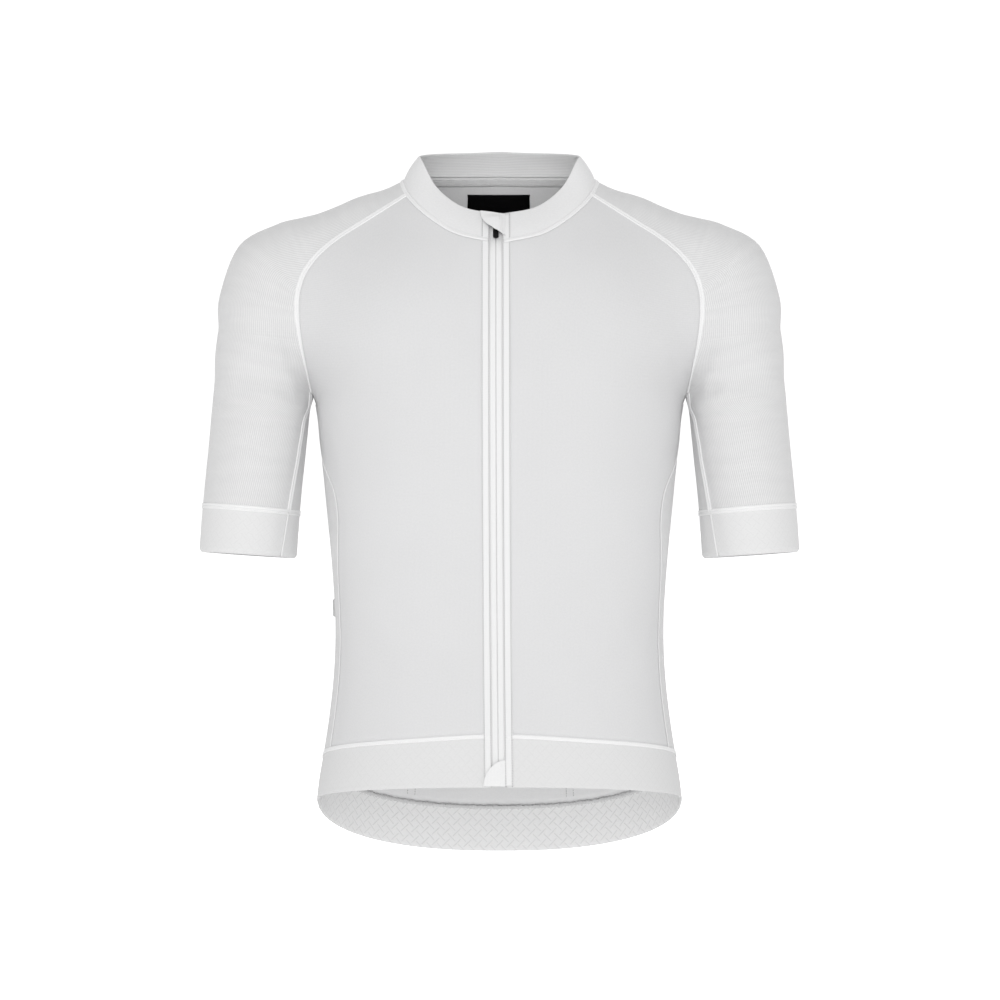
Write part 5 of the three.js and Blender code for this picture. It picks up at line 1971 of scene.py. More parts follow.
@dataclass
class Body:
    """Fronts, back and side panels."""

    cloths: Cloths
    finishes: Finishes
    wall: float = 1.0
    front_cut: Cut = Cut(0.23, 0.57, 0.0905)
    side_cut: Cut = Cut(0.1, 0.36, 0.0267)
    back_cut: Cut = Cut(0.46, 0.64, 0.208)

    def build(self) -> None:
        """Makes the five panels."""
        pattern = self.cloths.pattern
        self.fronts = {}
        self.sides = {}
        for side, name in ((1, "left"), (-1, "right")):
            grid = pattern.front(side) * [side, 1, 1]
            self.fronts[side] = self.cloths.panel(grid)
            trims = (f"facing_{name}_cloth",)
            piece = ClothPiece(f"front_{name}", "front_knit", Shell(self.wall), self.front_cut, trims)
            piece.build(self.fronts[side], self.finishes.knit)
            self.sides[side] = self.cloths.panel(pattern.side_panel() * [side, 1, 1], 0.5, corner=False)
            strip = ClothPiece(f"side_{name}", "ribbed_knit", Shell(self.wall), self.side_cut)
            strip.build(self.sides[side], self.finishes.rib)
        self.back = self.cloths.panel(pattern.back(), 0.5, both=True)
        back = ClothPiece("back", "front_knit", Shell(self.wall), self.back_cut)
        back.build(self.back, self.finishes.knit, self.finishes.knit_inside)


@dataclass
class Sleeves:
    """Both sleeves with their cuffs."""

    cloths: Cloths
    finishes: Finishes
    wall: float = 1.0
    cuff_wall: float = 1.3
    curl: float = 1.7
    curl_start: float = 0.92
    sleeve_cut: Cut = Cut(0.34, 0.38, 0.0875)
    cuff_cut: Cut = Cut(0.325, 0.0423, 0.0137)

    def build(self) -> None:
        """Makes them."""
        self.sleeves = {}
        self.cuffs = {}
        for side, name in ((1, "left"), (-1, "right")):
            self.sleeves[side] = self.cloths.sleeve(side)
            sleeve = ClothPiece(f"sleeve_{name}", "ribbed_knit", Shell(self.wall), self.sleeve_cut)
            sleeve.build(self.sleeves[side], self.finishes.rib)
            self.cuffs[side] = self.cloths.cuff(side)
            shell = Shell(self.cuff_wall, round_top=True)
            cuff = ClothPiece(f"cuff_{name}", "elastic_band", shell, self.cuff_cut)
            down = np.linspace(0, 1, len(self.cuffs[side].grid))[:, None]
            curl = -self.curl * np.clip((down - self.curl_start) / (1 - self.curl_start), 0, 1) ** 2
            lifts = curl + 0 * self.cuffs[side].u
            cuff.build(self.cuffs[side], self.finishes.cuff, lifts=lifts)


@dataclass
class Hem:
    """The three elastic hem bands."""

    cloths: Cloths
    finishes: Finishes
    wall: float = 1.3
    back_columns: int = 28
    front_cut: Cut = Cut(0.26, 0.042, 0.0107)
    back_cut: Cut = Cut(0.456, 0.042, 0.0191)

    def build(self) -> None:
        """Makes them."""
        pattern = self.cloths.pattern
        seam = pattern.band_seam
        shell = Shell(self.wall, round_top=True)
        self.bands = {}
        for side, name in ((1, "left"), (-1, "right")):
            self.bands[side] = self.cloths.band(pattern.front_band(side) * [side, 1, 1])
            piece = ClothPiece(f"hem_front_{name}", "elastic_band", shell, self.front_cut)
            piece.build(self.bands[side], self.finishes.band, self.finishes.grip)
        self.back = self.cloths.band(pattern.band_grid(seam, 360 - seam, self.back_columns))
        piece = ClothPiece("hem_back", "elastic_band", shell, self.back_cut)
        piece.build(self.back, self.finishes.band, self.finishes.grip)


@dataclass
class Collar:
    """The folded stand collar."""

    cloths: Cloths
    finishes: Finishes
    wall: float = 1.6
    cut: Cut = Cut(0.5, 0.033, 0.0141)

    def build(self) -> None:
        """Makes it."""
        coarse = self.cloths.pattern.collar()
        cloths = self.cloths
        self.surface = Surface.smooth(
            coarse, cloths.creases, cloths.trunk_inside, (5, 5), zero=0.5
        )
        piece = ClothPiece("collar", "collar_knit", Shell(self.wall, round_top=True), self.cut)
        piece.build(self.surface, self.finishes.collar, self.finishes.collar_inside)


@dataclass
class Zip:
    """The zip's tapes and the facings beside them."""

    cloths: Cloths
    finishes: Finishes
    tape: Pair = (0.07, 12.0)
    facing: Pair = (5.75, 13.2)
    tape_lift: float = -1.8
    tape_level: float = 1.5
    tape_edge: Pair = (5.7, 6.5)
    slider_clear: Pair = (-42.0, -54.0)
    tape_wall: float = 0.6
    facing_lift: float = 0.66
    facing_wall: float = 0.5
    facing_turn: float = 0.5
    facing_round: float = 0.7
    end_gap: float = 0.6
    tape_cut: Cut = Cut(0.0133, 0.53, 0.007)

    def build(self) -> None:
        """Makes them."""
        pattern = self.cloths.pattern
        low, high = pattern.zip_bottom + self.end_gap, pattern.zip_top - self.end_gap
        self.facings = {}
        for side, name in ((1, "left"), (-1, "right")):
            for kind, (near, far), lift, wall, cut in (
                ("zip_tape", self.tape, self.tape_lift, self.tape_wall, self.tape_cut),
                ("facing", self.facing, self.facing_lift, self.facing_wall, None),
            ):
                coarse = pattern.strip(near * side, far * side, low, high, 3)
                flat = Surface.smooth(coarse, self.cloths.creases, self.cloths.trunk_inside, (3, 3))
                piece = ClothPiece(f"{kind}_{name}", "zip_tape", Shell(wall, lift), cut)
                aside = mix(near, far, np.linspace(0, 1, flat.grid.shape[1]))[None] + 0 * flat.u
                if kind == "facing":
                    edge = (near + self.facing_round - aside) / self.facing_round
                    lifts = -self.facing_turn * np.clip(edge, 0, 1)
                else:
                    out = 1 - np.clip((aside - self.tape_edge[0]) / np.ptp(self.tape_edge), 0, 1)
                    below = self.slider_clear[0] - flat.grid[..., 2]
                    down = np.clip(below / np.ptp(self.slider_clear), 0, 1)
                    lifts = self.tape_level * out * down
                piece.build(flat, self.finishes.tape, lifts=lifts)
                if kind == "facing":
                    self.facings[side] = flat


@dataclass
class Flaps:
    """The quarter-round flaps over both ends of the zip."""

    cloths: Cloths
    finishes: Finishes
    root: float = 5.5
    far: float = 17.4
    wall: float = 0.9
    garage_lifts: Triple = (0.1, 5.4, 1.9)
    hem_lifts: Triple = (0.2, 1.3, 1.7)
    crown: float = 6.5
    crown_lift: float = 2.2
    rise_share: float = 0.22
    fall_share: float = 0.5
    rows: int = 10
    columns: int = 12
    garage_cut: Cut = Cut(0.027, 0.024, 0.00061)
    hem_cut: Cut = Cut(0.02, 0.0245, 0.0004)

    def build(self) -> None:
        """Makes them."""
        for node, table, lifts, cut in (
            ("garage_flap", GARAGE_FLAP, self.garage_lifts, self.garage_cut),
            ("hem_flap", HEM_FLAP, self.hem_lifts, self.hem_cut),
        ):
            free = column([(z, x) for z, x in table])
            coarse = []
            for z in np.linspace(table[0][0], table[-1][0], self.rows + 1):
                x = np.linspace(self.root, min(float(free(z)), self.root - 0.3), self.columns + 1)
                coarse.append(self.cloths.pattern.front_at(x, z + x * 0))
            surface = Surface.smooth(np.array(coarse), Creases([]), self.cloths.trunk_inside, (3, 3))
            s = (self.root - surface.grid[..., 0]) / (self.root + self.far)
            rise = np.clip(s / self.rise_share, 0, 1)
            fall = np.clip((s - self.fall_share) / (1 - self.fall_share), 0, 1)
            down = np.clip((table[0][0] - surface.grid[..., 2]) / self.crown, 0, 1)
            middle = mix(min(lifts[1], self.crown_lift), lifts[1], down * down * (3 - 2 * down))
            up = mix(lifts[0], middle, rise * rise * (3 - 2 * rise))
            raised = mix(up, lifts[2], fall * fall * (3 - 2 * fall)) + self.wall
            shell = Shell(self.wall, round_top=True, round_foot=True)
            piece = ClothPiece(node, "zip_tape", shell, cut)
            piece.build(surface, self.finishes.tape, lifts=raised)


@dataclass
class Pockets:
    """Three flat pockets on the outside of the back."""

    cloths: Cloths
    finishes: Finishes
    places: tuple[tuple[str, float, float, float, Cut], ...] = (
        ("left", 108, 147.2, -372, Cut(0.115, 0.175, 0.0192)),
        ("middle", 147.8, 219.7, -366, Cut(0.16, 0.2, 0.0293)),
        ("right", 220.3, 252, -372, Cut(0.1, 0.17, 0.0159)),
    )
    dip: float = 6.0
    above_band: float = 3.0
    lift: float = 0.9
    wall: float = 0.8
    gape: float = 2.6

    def build(self) -> None:
        """Makes them."""
        cloths = self.cloths
        pattern = cloths.pattern
        self.surfaces = []
        for name, start, end, top, cut in self.places:
            middle = (start + end) / 2
            angles = np.linspace(start, end, 13)
            low = pattern.hem(angles, pattern.band + self.above_band)[:, 2]
            high = top - self.dip * (1 - ((angles - middle) / (end - middle)) ** 2)
            coarse = np.array([pattern.trunk(angles, mix(low, high, t)) for t in np.linspace(0, 1, 13)])
            surface = Surface.smooth(
                coarse, cloths.creases, cloths.trunk_inside, (4, 4), zero=0.5
            )
            t = np.linspace(0, 1, len(surface.grid))[:, None]
            s = np.linspace(0, 1, surface.grid.shape[1])[None]
            raised = self.gape * np.sin(np.pi * s) * np.clip(t * 2 - 1, 0, 1) ** 2
            shell = Shell(self.wall, self.lift + self.wall, round_top=True)
            piece = ClothPiece(f"pocket_{name}", "front_knit", shell, cut)
            piece.build(surface, self.finishes.knit, lifts=raised)
            self.surfaces.append(surface)


@dataclass(frozen=True)
class SeamLine:
    """A line along a seam, with the cloth's normals."""

    points: Points
    normals: Points

    @classmethod
    def between(cls, line: Points, normals: Points, *others: Surface) -> "SeamLine":
        """A line with normals that are shared with the pieces it joins.

        Args:
            line: Points of the seam.
            normals: Normals of the first piece there.
            others: The other pieces.

        Returns:
            The seam line.
        """
        total = normals.copy()
        for other in others:
            edge = [other.grid[0], other.grid[-1], other.grid[:, 0], other.grid[:, -1]]
            out = [other.normals[0], other.normals[-1], other.normals[:, 0], other.normals[:, -1]]
            places, ways = np.concatenate(edge), np.concatenate(out)
            near = np.linalg.norm(line[:, None] - places[None], axis=2).argmin(1)
            total = total + ways[near]
        return cls(line, unit(total))

    def evenly(self, step: float) -> "SeamLine":
        """The line with points every step.

        Args:
            step: How far apart.

        Returns:
            The new line.
        """
        lengths = run_lengths(self.points)
        want = np.linspace(0, lengths[-1], max(int(lengths[-1] / step), 2) + 1)
        both = (self.points, self.normals)
        spread = [[np.interp(want, lengths, a[:, k]) for k in range(3)] for a in both]
        points, normals = (np.stack(three, 1) for three in spread)
        return SeamLine(points, unit(normals))

    def moved(self, across: float, lift: float) -> "SeamLine":
        """The line moved sideways in the cloth and raised from it."""
        aside = unit(np.cross(self.normals, unit(np.gradient(self.points, axis=0))))
        return SeamLine(self.points + aside * across + self.normals * lift, self.normals)


class Stitching:
    """Gathers bars and single stitches and makes each group one piece."""

    def __init__(self) -> None:
        """Starts with nothing gathered."""
        self.vertices: list[Points] = []
        self.faces: Faces = []
        self.flat: list[Points] = []
        self.count = 0

    def _take(self, vertices: Points, faces: Faces, flat: Points) -> None:
        """Gathers one mesh.

        Args:
            vertices: Its vertices.
            faces: Its faces.
            flat: Its flat places.
        """
        self.vertices.append(vertices)
        self.faces += [[v + self.count for v in f] for f in faces]
        self.flat.append(flat)
        self.count += len(vertices)

    def bar(self, line: SeamLine, section: Table, swell: Points | None = None) -> None:
        """Adds a bar with one section along a line.

        Args:
            line: Where it lies.
            section: Its outline, across and up.
            swell: How much larger it is at each point.
        """
        shape = np.array(section, float)
        vertices, faces = sweep(line.points, line.normals, shape, swell)
        v, round_it = run_lengths(line.points), run_lengths(shape)
        flat = np.stack([np.tile(round_it, len(v)), np.repeat(v, len(shape))], 1) * 0.001
        self._take(vertices, faces, flat)

    def stitches(
        self,
        line: SeamLine,
        length: float = 1.7,
        pitch: float = 2.4,
        radius: float = 0.3,
        turn: float = 0.0,
    ) -> None:
        """Adds a row of stitches along a line.

        Args:
            line: Where they lie.
            length: How long each is.
            pitch: How far apart they are.
            radius: Half their thickness.
            turn: How far each turns in the cloth, in degrees.
        """
        row = line.evenly(pitch)
        along = unit(np.gradient(row.points, axis=0))
        across = unit(np.cross(row.normals, along))
        up = np.cross(along, across)
        c, s = math.cos(math.radians(turn)), math.sin(math.radians(turn))
        along, across = along * c + across * s, across * c - along * s
        profile = ((-0.5, 0.0), (-0.32, 1.0), (0.32, 1.0), (0.5, 0.0))
        around = [(math.cos(a), math.sin(a)) for a in np.linspace(0, 2 * math.pi, 6)[:-1]]
        parts = [row.points + along * profile[0][0] * length]
        for share, size in profile[1:3]:
            for a, b in around:
                place = row.points + along * share * length
                parts.append(place + (across * a + up * b) * radius * size)
        parts.append(row.points + along * profile[3][0] * length)
        vertices = np.stack(parts, 1)
        n = len(around)
        one = [[0, 1 + (j + 1) % n, 1 + j] for j in range(n)]
        one += [[1 + j, 1 + (j + 1) % n, 1 + n + (j + 1) % n, 1 + n + j] for j in range(n)]
        one += [[1 + n + j, 1 + n + (j + 1) % n, 2 * n + 1] for j in range(n)]
        one = Piece.outward(vertices[0] - vertices[0].mean(0), one)
        size = vertices.shape[1]
        faces = [[v + k * size for v in f] for k in range(len(vertices)) for f in one]
        self._take(vertices.reshape(-1, 3), faces, np.zeros((len(vertices) * size, 2)))

    def make(self, name: str, material: Material, slot: str) -> Thing:
        """Makes all that was gathered one piece.

        Args:
            name: Its name.
            material: Its finish.
            slot: The finish it belongs to; not used.

        Returns:
            The object.
        """
        vertices, flat = np.concatenate(self.vertices), np.concatenate(self.flat)
        thing = Piece.add(name, vertices, self.faces, [material], uv=flat)
        return thing


FLAT_SEAM = (
    (-2.7, -0.35), (-2.55, 0.4), (-2.0, 0.75), (-1.0, 0.7), (-0.3, 0.62), (0.0, 0.3),
    (0.3, 0.62), (1.0, 0.7), (2.0, 0.75), (2.55, 0.4), (2.7, -0.35),
)
NARROW_SEAM = (
    (-2.0, -0.3), (-1.85, 0.35), (-1.0, 0.7), (0.0, 0.5), (1.0, 0.7), (1.85, 0.35), (2.0, -0.3),
)
THIN_SEAM = ((-0.85, -0.25), (-0.7, 0.25), (0.0, 0.55), (0.7, 0.25), (0.85, -0.25))
ROPE = tuple((2.2 * math.cos(a), 1.0 * math.sin(a)) for a in np.linspace(0, 2 * math.pi, 9)[:-1])


@dataclass
class Seams:
    """All the sewing between the pieces."""

    cloths: Cloths
    finishes: Finishes
    body: Body
    sleeves: Sleeves
    hem: Hem
    collar: Collar
    zip: Zip
    pockets: Pockets
    step: float = 2.2
    stitch_aside: float = 1.65
    stitch_lift: float = 0.62
    band_drop: float = 1.5
    rope_inside: float = -1.7
    rope_rise: float = -0.2
    rope_step: float = 1.1
    rope_lumps: tuple[Triple, ...] = ((0.24, 1.9, 0), (0.14, 0.83, 1), (0.1, 0.29, 0))
    facing_rows: Pair = (0.16, 0.84)
    inside_row: int = 34
    inside_lift: float = -1.12

    def build(self) -> None:
        """Makes them."""
        for side, name in ((1, "left"), (-1, "right")):
            self._raglan(side, name)
            self._sleeve(side, name)
            self._side(side, name)
            self._facing(side, name)
        self._neck()
        self._hem()
        self._pockets()

    def _twin_rows(self, threads: Stitching, line: SeamLine) -> None:
        """Adds the two rows of stitches along a flat-lock seam."""
        for across in (-self.stitch_aside, self.stitch_aside):
            threads.stitches(line.moved(across, self.stitch_lift))

    def _raglan(self, side: int, name: str) -> None:
        """The flat-lock seams from the armpit up to the collar.

        Args:
            side: 1 for the wearer's left, -1 for the right.
            name: The side's name, for the pieces.
        """
        start = self.cloths.pattern.side_rows * 5
        back, column = self.body.back, 0 if side > 0 else -1
        front = self.body.fronts[side]
        bars, threads = Stitching(), Stitching()
        for panel, col in ((front, -1), (back, column)):
            grid, normals = panel.grid[start:, col], panel.normals[start:, col]
            line = SeamLine.between(grid, normals, self.sleeves.sleeves[side]).evenly(self.step)
            bars.bar(line, FLAT_SEAM)
            self._twin_rows(threads, line)
        bars.make(f"raglan_seams_{name}", self.finishes.seam, "elastic_band")
        threads.make(f"raglan_stitches_{name}", self.finishes.thread, "elastic_band")

    def _sleeve(self, side: int, name: str) -> None:
        """The seam under the arm and the one round the cuff.

        Args:
            side: 1 for the wearer's left, -1 for the right.
            name: The side's name, for the pieces.
        """
        sleeve, cuff = self.sleeves.sleeves[side], self.sleeves.cuffs[side]
        start = self.cloths.pattern.raglan_rows * 6
        bars, threads = Stitching(), Stitching()
        grid, normals = sleeve.grid[start:, 0], sleeve.normals[start:, 0]
        under = SeamLine.between(grid, normals, sleeve).evenly(self.step)
        bars.bar(under, FLAT_SEAM)
        round_it = SeamLine.between(cuff.grid[0], cuff.normals[0], sleeve).evenly(self.step)
        bars.bar(round_it, FLAT_SEAM)
        for line in (under, round_it):
            self._twin_rows(threads, line)
        outward = unit(cuff.normals[:, 0] + cuff.normals[:, -1])
        down = SeamLine(cuff.grid[:, 0], outward).evenly(self.step)
        bars.bar(down, THIN_SEAM)
        bars.make(f"sleeve_seams_{name}", self.finishes.seam, "elastic_band")
        threads.make(f"sleeve_stitches_{name}", self.finishes.thread, "elastic_band")

    def _side(self, side: int, name: str) -> None:
        """The thin seams on both edges of the side panel.

        Args:
            side: 1 for the wearer's left, -1 for the right.
            name: The side's name, for the pieces.
        """
        panel = self.body.sides[side]
        bars = Stitching()
        for col in (0, -1):
            others = (self.body.fronts[side], self.body.back)
            line = SeamLine.between(panel.grid[:, col], panel.normals[:, col], *others)
            bars.bar(line.evenly(self.step), THIN_SEAM)
        bars.make(f"side_seams_{name}", self.finishes.seam, "elastic_band")

    def _facing(self, side: int, name: str) -> None:
        """The stitches along both edges of the facing.

        Args:
            side: 1 for the wearer's left, -1 for the right.
            name: The side's name, for the pieces.
        """
        facing = self.zip.facings[side]
        threads = Stitching()
        for share in self.facing_rows:
            col = int(round(share * (facing.grid.shape[1] - 1)))
            line = SeamLine(facing.grid[:, col], facing.normals[:, col])
            threads.stitches(line.moved(0, self.zip.facing_lift + 0.16), 1.5, 2.3, 0.4)
        threads.make(f"facing_stitches_{name}", self.finishes.fine_thread, "zip_tape")

    def _neck(self) -> None:
        """The seam between the collar and the body."""
        collar = self.collar.surface
        others = (self.body.back, *self.body.fronts.values(), *self.sleeves.sleeves.values())
        line = SeamLine.between(collar.grid[0], collar.normals[0], *others).evenly(self.step)
        bars, threads = Stitching(), Stitching()
        aside = unit(np.cross(line.normals, unit(np.gradient(line.points, axis=0))))
        down = 1.0 if aside[len(aside) // 2, 2] < 0 else -1.0
        bars.bar(line.moved(down * self.band_drop, 0.1), NARROW_SEAM)
        threads.stitches(line.moved(down * (self.band_drop + 0.5), 0.66))
        bars.make("collar_seam", self.finishes.seam, "collar_knit")
        threads.make("collar_stitches", self.finishes.thread, "collar_knit")

    def _hem(self) -> None:
        """The ridge and stitches above the bands, and the overlocked rope inside them."""
        others = (self.body.back, *self.body.fronts.values(), *self.body.sides.values())
        bars, threads, ropes = Stitching(), Stitching(), Stitching()
        for band in (*self.hem.bands.values(), self.hem.back):
            line = SeamLine.between(band.grid[0], band.normals[0], *others).evenly(self.step)
            bars.bar(line.moved(0, 0.1), NARROW_SEAM)
            threads.stitches(line.moved(0.9, self.stitch_lift))
            rope = line.moved(0, self.rope_inside).evenly(self.rope_step)
            rope = SeamLine(rope.points + [0, 0, self.rope_rise], rope.normals)
            at = np.arange(len(rope.points)) * self.rope_step
            lumps = sum(size * np.sin(at * rate + start) for size, rate, start in self.rope_lumps)
            ropes.bar(rope, ROPE, 1 + lumps)
        bars.make("hem_seam", self.finishes.seam, "elastic_band")
        threads.make("hem_stitches", self.finishes.thread, "elastic_band")
        ropes.make("hem_rope", self.finishes.overlock, "elastic_band")

    def _pockets(self) -> None:
        """The stitches round each pocket."""
        threads = Stitching()
        for pocket in self.pockets.surfaces:
            lift = self.pockets.lift + self.pockets.wall + 0.1
            for col in (2, -3):
                line = SeamLine(pocket.grid[:, col], pocket.normals[:, col])
                threads.stitches(line.moved(0, lift + 0.05))
            foot = SeamLine(pocket.grid[2], pocket.normals[2])
            threads.stitches(foot.moved(0, lift))
        threads.make("pocket_stitches", self.finishes.thread, "front_knit")
        self._inside_rows()

    def _inside_rows(self) -> None:
        """The double rows inside the back where the pockets' edges are sewn through."""
        threads = Stitching()
        back = self.body.back
        angles = Pattern.angle_of(back.grid[self.inside_row])
        for _, start, *_ in self.pockets.places:
            for aside in (-1, 1):
                col = int(np.abs(angles - start).argmin()) + aside
                col = min(max(col, 1), back.grid.shape[1] - 2)
                rows = slice(1, self.inside_row)
                line = SeamLine(back.grid[rows, col], back.normals[rows, col])
                threads.stitches(line.moved(0, self.inside_lift))
        threads.make("inside_stitches", self.finishes.fine_thread, "front_knit")


@dataclass
class NeckTrims:
    """The tape over the collar seam inside the back, and the blank label below it."""

    cloths: Cloths
    finishes: Finishes
    back: Surface
    tape_ends: Pair = (0.03, 0.97)
    tape_drop: Pair = (0.4, 8.3)
    tape_wall: float = 0.3
    tape_dip: float = 0.5
    tape_ripple: float = 0.25
    tape_turns: float = 60
    tape_points: int = 81
    tape_rows: int = 7
    label_width: float = 61.0
    label_heights: Pair = (12.8, -15.2)
    label_middle: float = -0.8
    label_wall: float = 0.5
    drop: float = -1.15
    tape_cut: Cut = Cut(0.15, 0.0105, 0.00152)
    label_cut: Cut = Cut(0.062, 0.031, 0.0019)

    def build(self) -> None:
        """Makes them."""
        rows, cols = self.back.grid.shape[:2]
        places = np.linspace(*self.tape_ends, self.tape_points) * (cols - 1)
        upper = self.back.at(np.full(self.tape_points, rows - 1.0), places)[:, 2]
        row_grid = []
        for drop in np.linspace(*self.tape_drop, self.tape_rows):
            row_grid.append([self._row(c, z - drop) for c, z in zip(places, upper)])
        at_rows = np.array(row_grid)
        at_cols = np.broadcast_to(places, at_rows.shape)
        tape = self.back.patch(at_rows, at_cols, self.drop, 0.5)
        t = np.linspace(-1, 1, self.tape_rows)[:, None]
        ripple = self.tape_ripple * np.sin(np.linspace(0, self.tape_turns, self.tape_points))[None]
        swell = -self.tape_dip * (1 - t**2) - ripple * (1 - t**2)
        shell = Shell(self.tape_wall)
        piece = ClothPiece("neck_tape", "zip_tape", shell, self.tape_cut)
        piece.build(tape, self.finishes.tape, lifts=swell)
        self._tape_stitches(tape)
        self._label()

    def _tape_stitches(self, tape: Surface) -> None:
        """Two slanting rows along each edge of the neck tape, like a herringbone.

        Args:
            tape: The tape's face.
        """
        threads = Stitching()
        for row in (1, 2, 4, 5):
            lift = -self.tape_wall - (0.5 if row in (2, 4) else 0.3)
            line = SeamLine(tape.grid[row] + tape.normals[row] * lift, tape.normals[row])
            threads.stitches(line, 2.0, 1.7, 0.28, 50.0 if row in (1, 4) else -50.0)
        threads.make("neck_tape_stitches", self.finishes.thread, "zip_tape")

    def _row(self, col: float, z: float) -> float:
        """The back's fine row at which a column passes a height.

        Args:
            col: The column.
            z: The height.

        Returns:
            The row, also between two.
        """
        j = int(round(col))
        heights = self.back.grid[:, j, 2]
        return float(np.interp(z, heights, np.arange(len(heights))))

    def _label(self) -> None:
        """The label, flat on the back's inside."""
        rows, cols = [], []
        for z in np.linspace(*self.label_heights, 9):
            middle = self.back.grid[int(self._row(self.back.grid.shape[1] / 2, z))]
            order = np.argsort(middle[:, 0])
            x = np.linspace(0.5, -0.5, 17) * self.label_width + self.label_middle
            cols.append(np.interp(x, middle[order, 0], np.arange(len(middle))[order].astype(float)))
            rows.append([self._row(c, z) for c in cols[-1]])
        label = self.back.patch(np.array(rows), np.array(cols), self.drop, 0.5)
        piece = ClothPiece("neck_label", "label_black", Shell(self.label_wall), self.label_cut)
        piece.build(label, self.finishes.label)


@dataclass
class Coil:
    """The reversed zip coil: two rows of turns that lock behind the tapes."""

    cloths: Cloths
    finishes: Finishes
    zip: Zip
    lift: float = -3.75
    half: float = 2.1
    pitch: float = 1.3
    radius: float = 0.5
    foot_gap: float = 12.0
    head_gap: float = 8.0

    def build(self) -> None:
        """Makes it."""
        pattern = self.cloths.pattern
        low = pattern.zip_bottom + self.zip.end_gap + self.foot_gap
        high = pattern.zip_top - self.zip.end_gap - self.head_gap
        strip = pattern.strip(-1, 1, low, high)
        flat = Surface.smooth(strip, self.cloths.creases, self.cloths.trunk_inside, (2, 2))
        middle = flat.grid.shape[1] // 2
        line = SeamLine(flat.grid[:, middle], flat.normals[:, middle]).evenly(1.0)
        turns = Stitching()
        length = self.half * 1.4
        for side, start in ((1, 0), (-1, 0.5)):
            across = side * (self.half - length / 2)
            row = line.moved(across, self.lift)
            begin = int(start * 2)
            shifted = SeamLine(row.points[begin:], row.normals[begin:])
            turns.stitches(shifted, length, self.pitch, self.radius, 90.0)
            core = line.moved(side * (self.half - 0.2), self.lift)
            turns.bar(core.evenly(4.0), ((-0.3, 0), (0, -0.35), (0.3, 0), (0, 0.35)))
        coil = turns.make("zip_coil_turns", self.finishes.coil, "zip_coil")
        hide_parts("zip_coil")


@dataclass
class SideTab:
    """The small folded tab in the seam on the wearer's right."""

    cloths: Cloths
    finishes: Finishes
    z: float = -383.0
    depth: float = 12.0
    height: float = 17.0
    reach: float = 4.3
    thick: float = 1.4
    gap: float = 0.75

    def build(self) -> None:
        """Makes it from a cube: narrowed and rounded."""
        foot = self.cloths.pattern.side([self.depth], self.z)[0] * [-1, 1, 1]
        place = (foot + [self.gap - self.reach / 2, 0, 0]) * 0.001
        bpy.ops.object.select_all(action="DESELECT")
        bpy.ops.mesh.primitive_cube_add(size=0.001, location=(0, 0, 0))
        tab = bpy.context.object
        tab.name = "side_tab_folded"
        bpy.ops.object.mode_set(mode="EDIT")
        bpy.ops.mesh.select_all(action="SELECT")
        bpy.ops.transform.resize(value=(self.reach, self.thick, self.height))
        bpy.ops.mesh.subdivide(number_cuts=3)
        select_where(tab, lambda p: p.x < -self.reach * 0.00049)
        bpy.ops.transform.resize(value=(1, 0.7, 0.82), center_override=(0, 0, 0))
        bpy.ops.mesh.select_all(action="SELECT")
        bpy.ops.transform.translate(value=tuple(place))
        bpy.ops.object.mode_set(mode="OBJECT")
        apply_modifier(tab, "BEVEL", width=0.00045, segments=3, limit_method="ANGLE")
        bpy.ops.object.shade_smooth_by_angle(angle=math.radians(50))
        tab.data.materials.append(self.finishes.rib)
        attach(tab, "jersey")
        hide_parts("side_tab")
        log.info("side_tab_folded made")


def select_where(thing: Thing, test: Callable[[Vector], bool]) -> None:
    """Selects the vertices of an object in edit mode that pass a test, and nothing else.

    Args:
        thing: The object.
        test: Takes a vertex's place.
    """
    bpy.ops.mesh.select_all(action="DESELECT")
    edit = bmesh.from_edit_mesh(thing.data)
    for vertex in edit.verts:
        vertex.select = test(vertex.co)
    edit.select_flush(True)
    bmesh.update_edit_mesh(thing.data)


def apply_modifier(thing: Thing, kind: str, **settings: object) -> None:
    """Adds a modifier with its settings and applies it.

    Args:
        thing: The object, in object mode.
        kind: The modifier's type.
        settings: Its settings.
    """
    bpy.ops.object.select_all(action="DESELECT")
    thing.select_set(True)
    bpy.context.view_layer.objects.active = thing
    modifier = thing.modifiers.new(kind.lower(), kind)
    for key, value in settings.items():
        setattr(modifier, key, value)
    bpy.ops.object.modifier_apply(modifier=modifier.name)


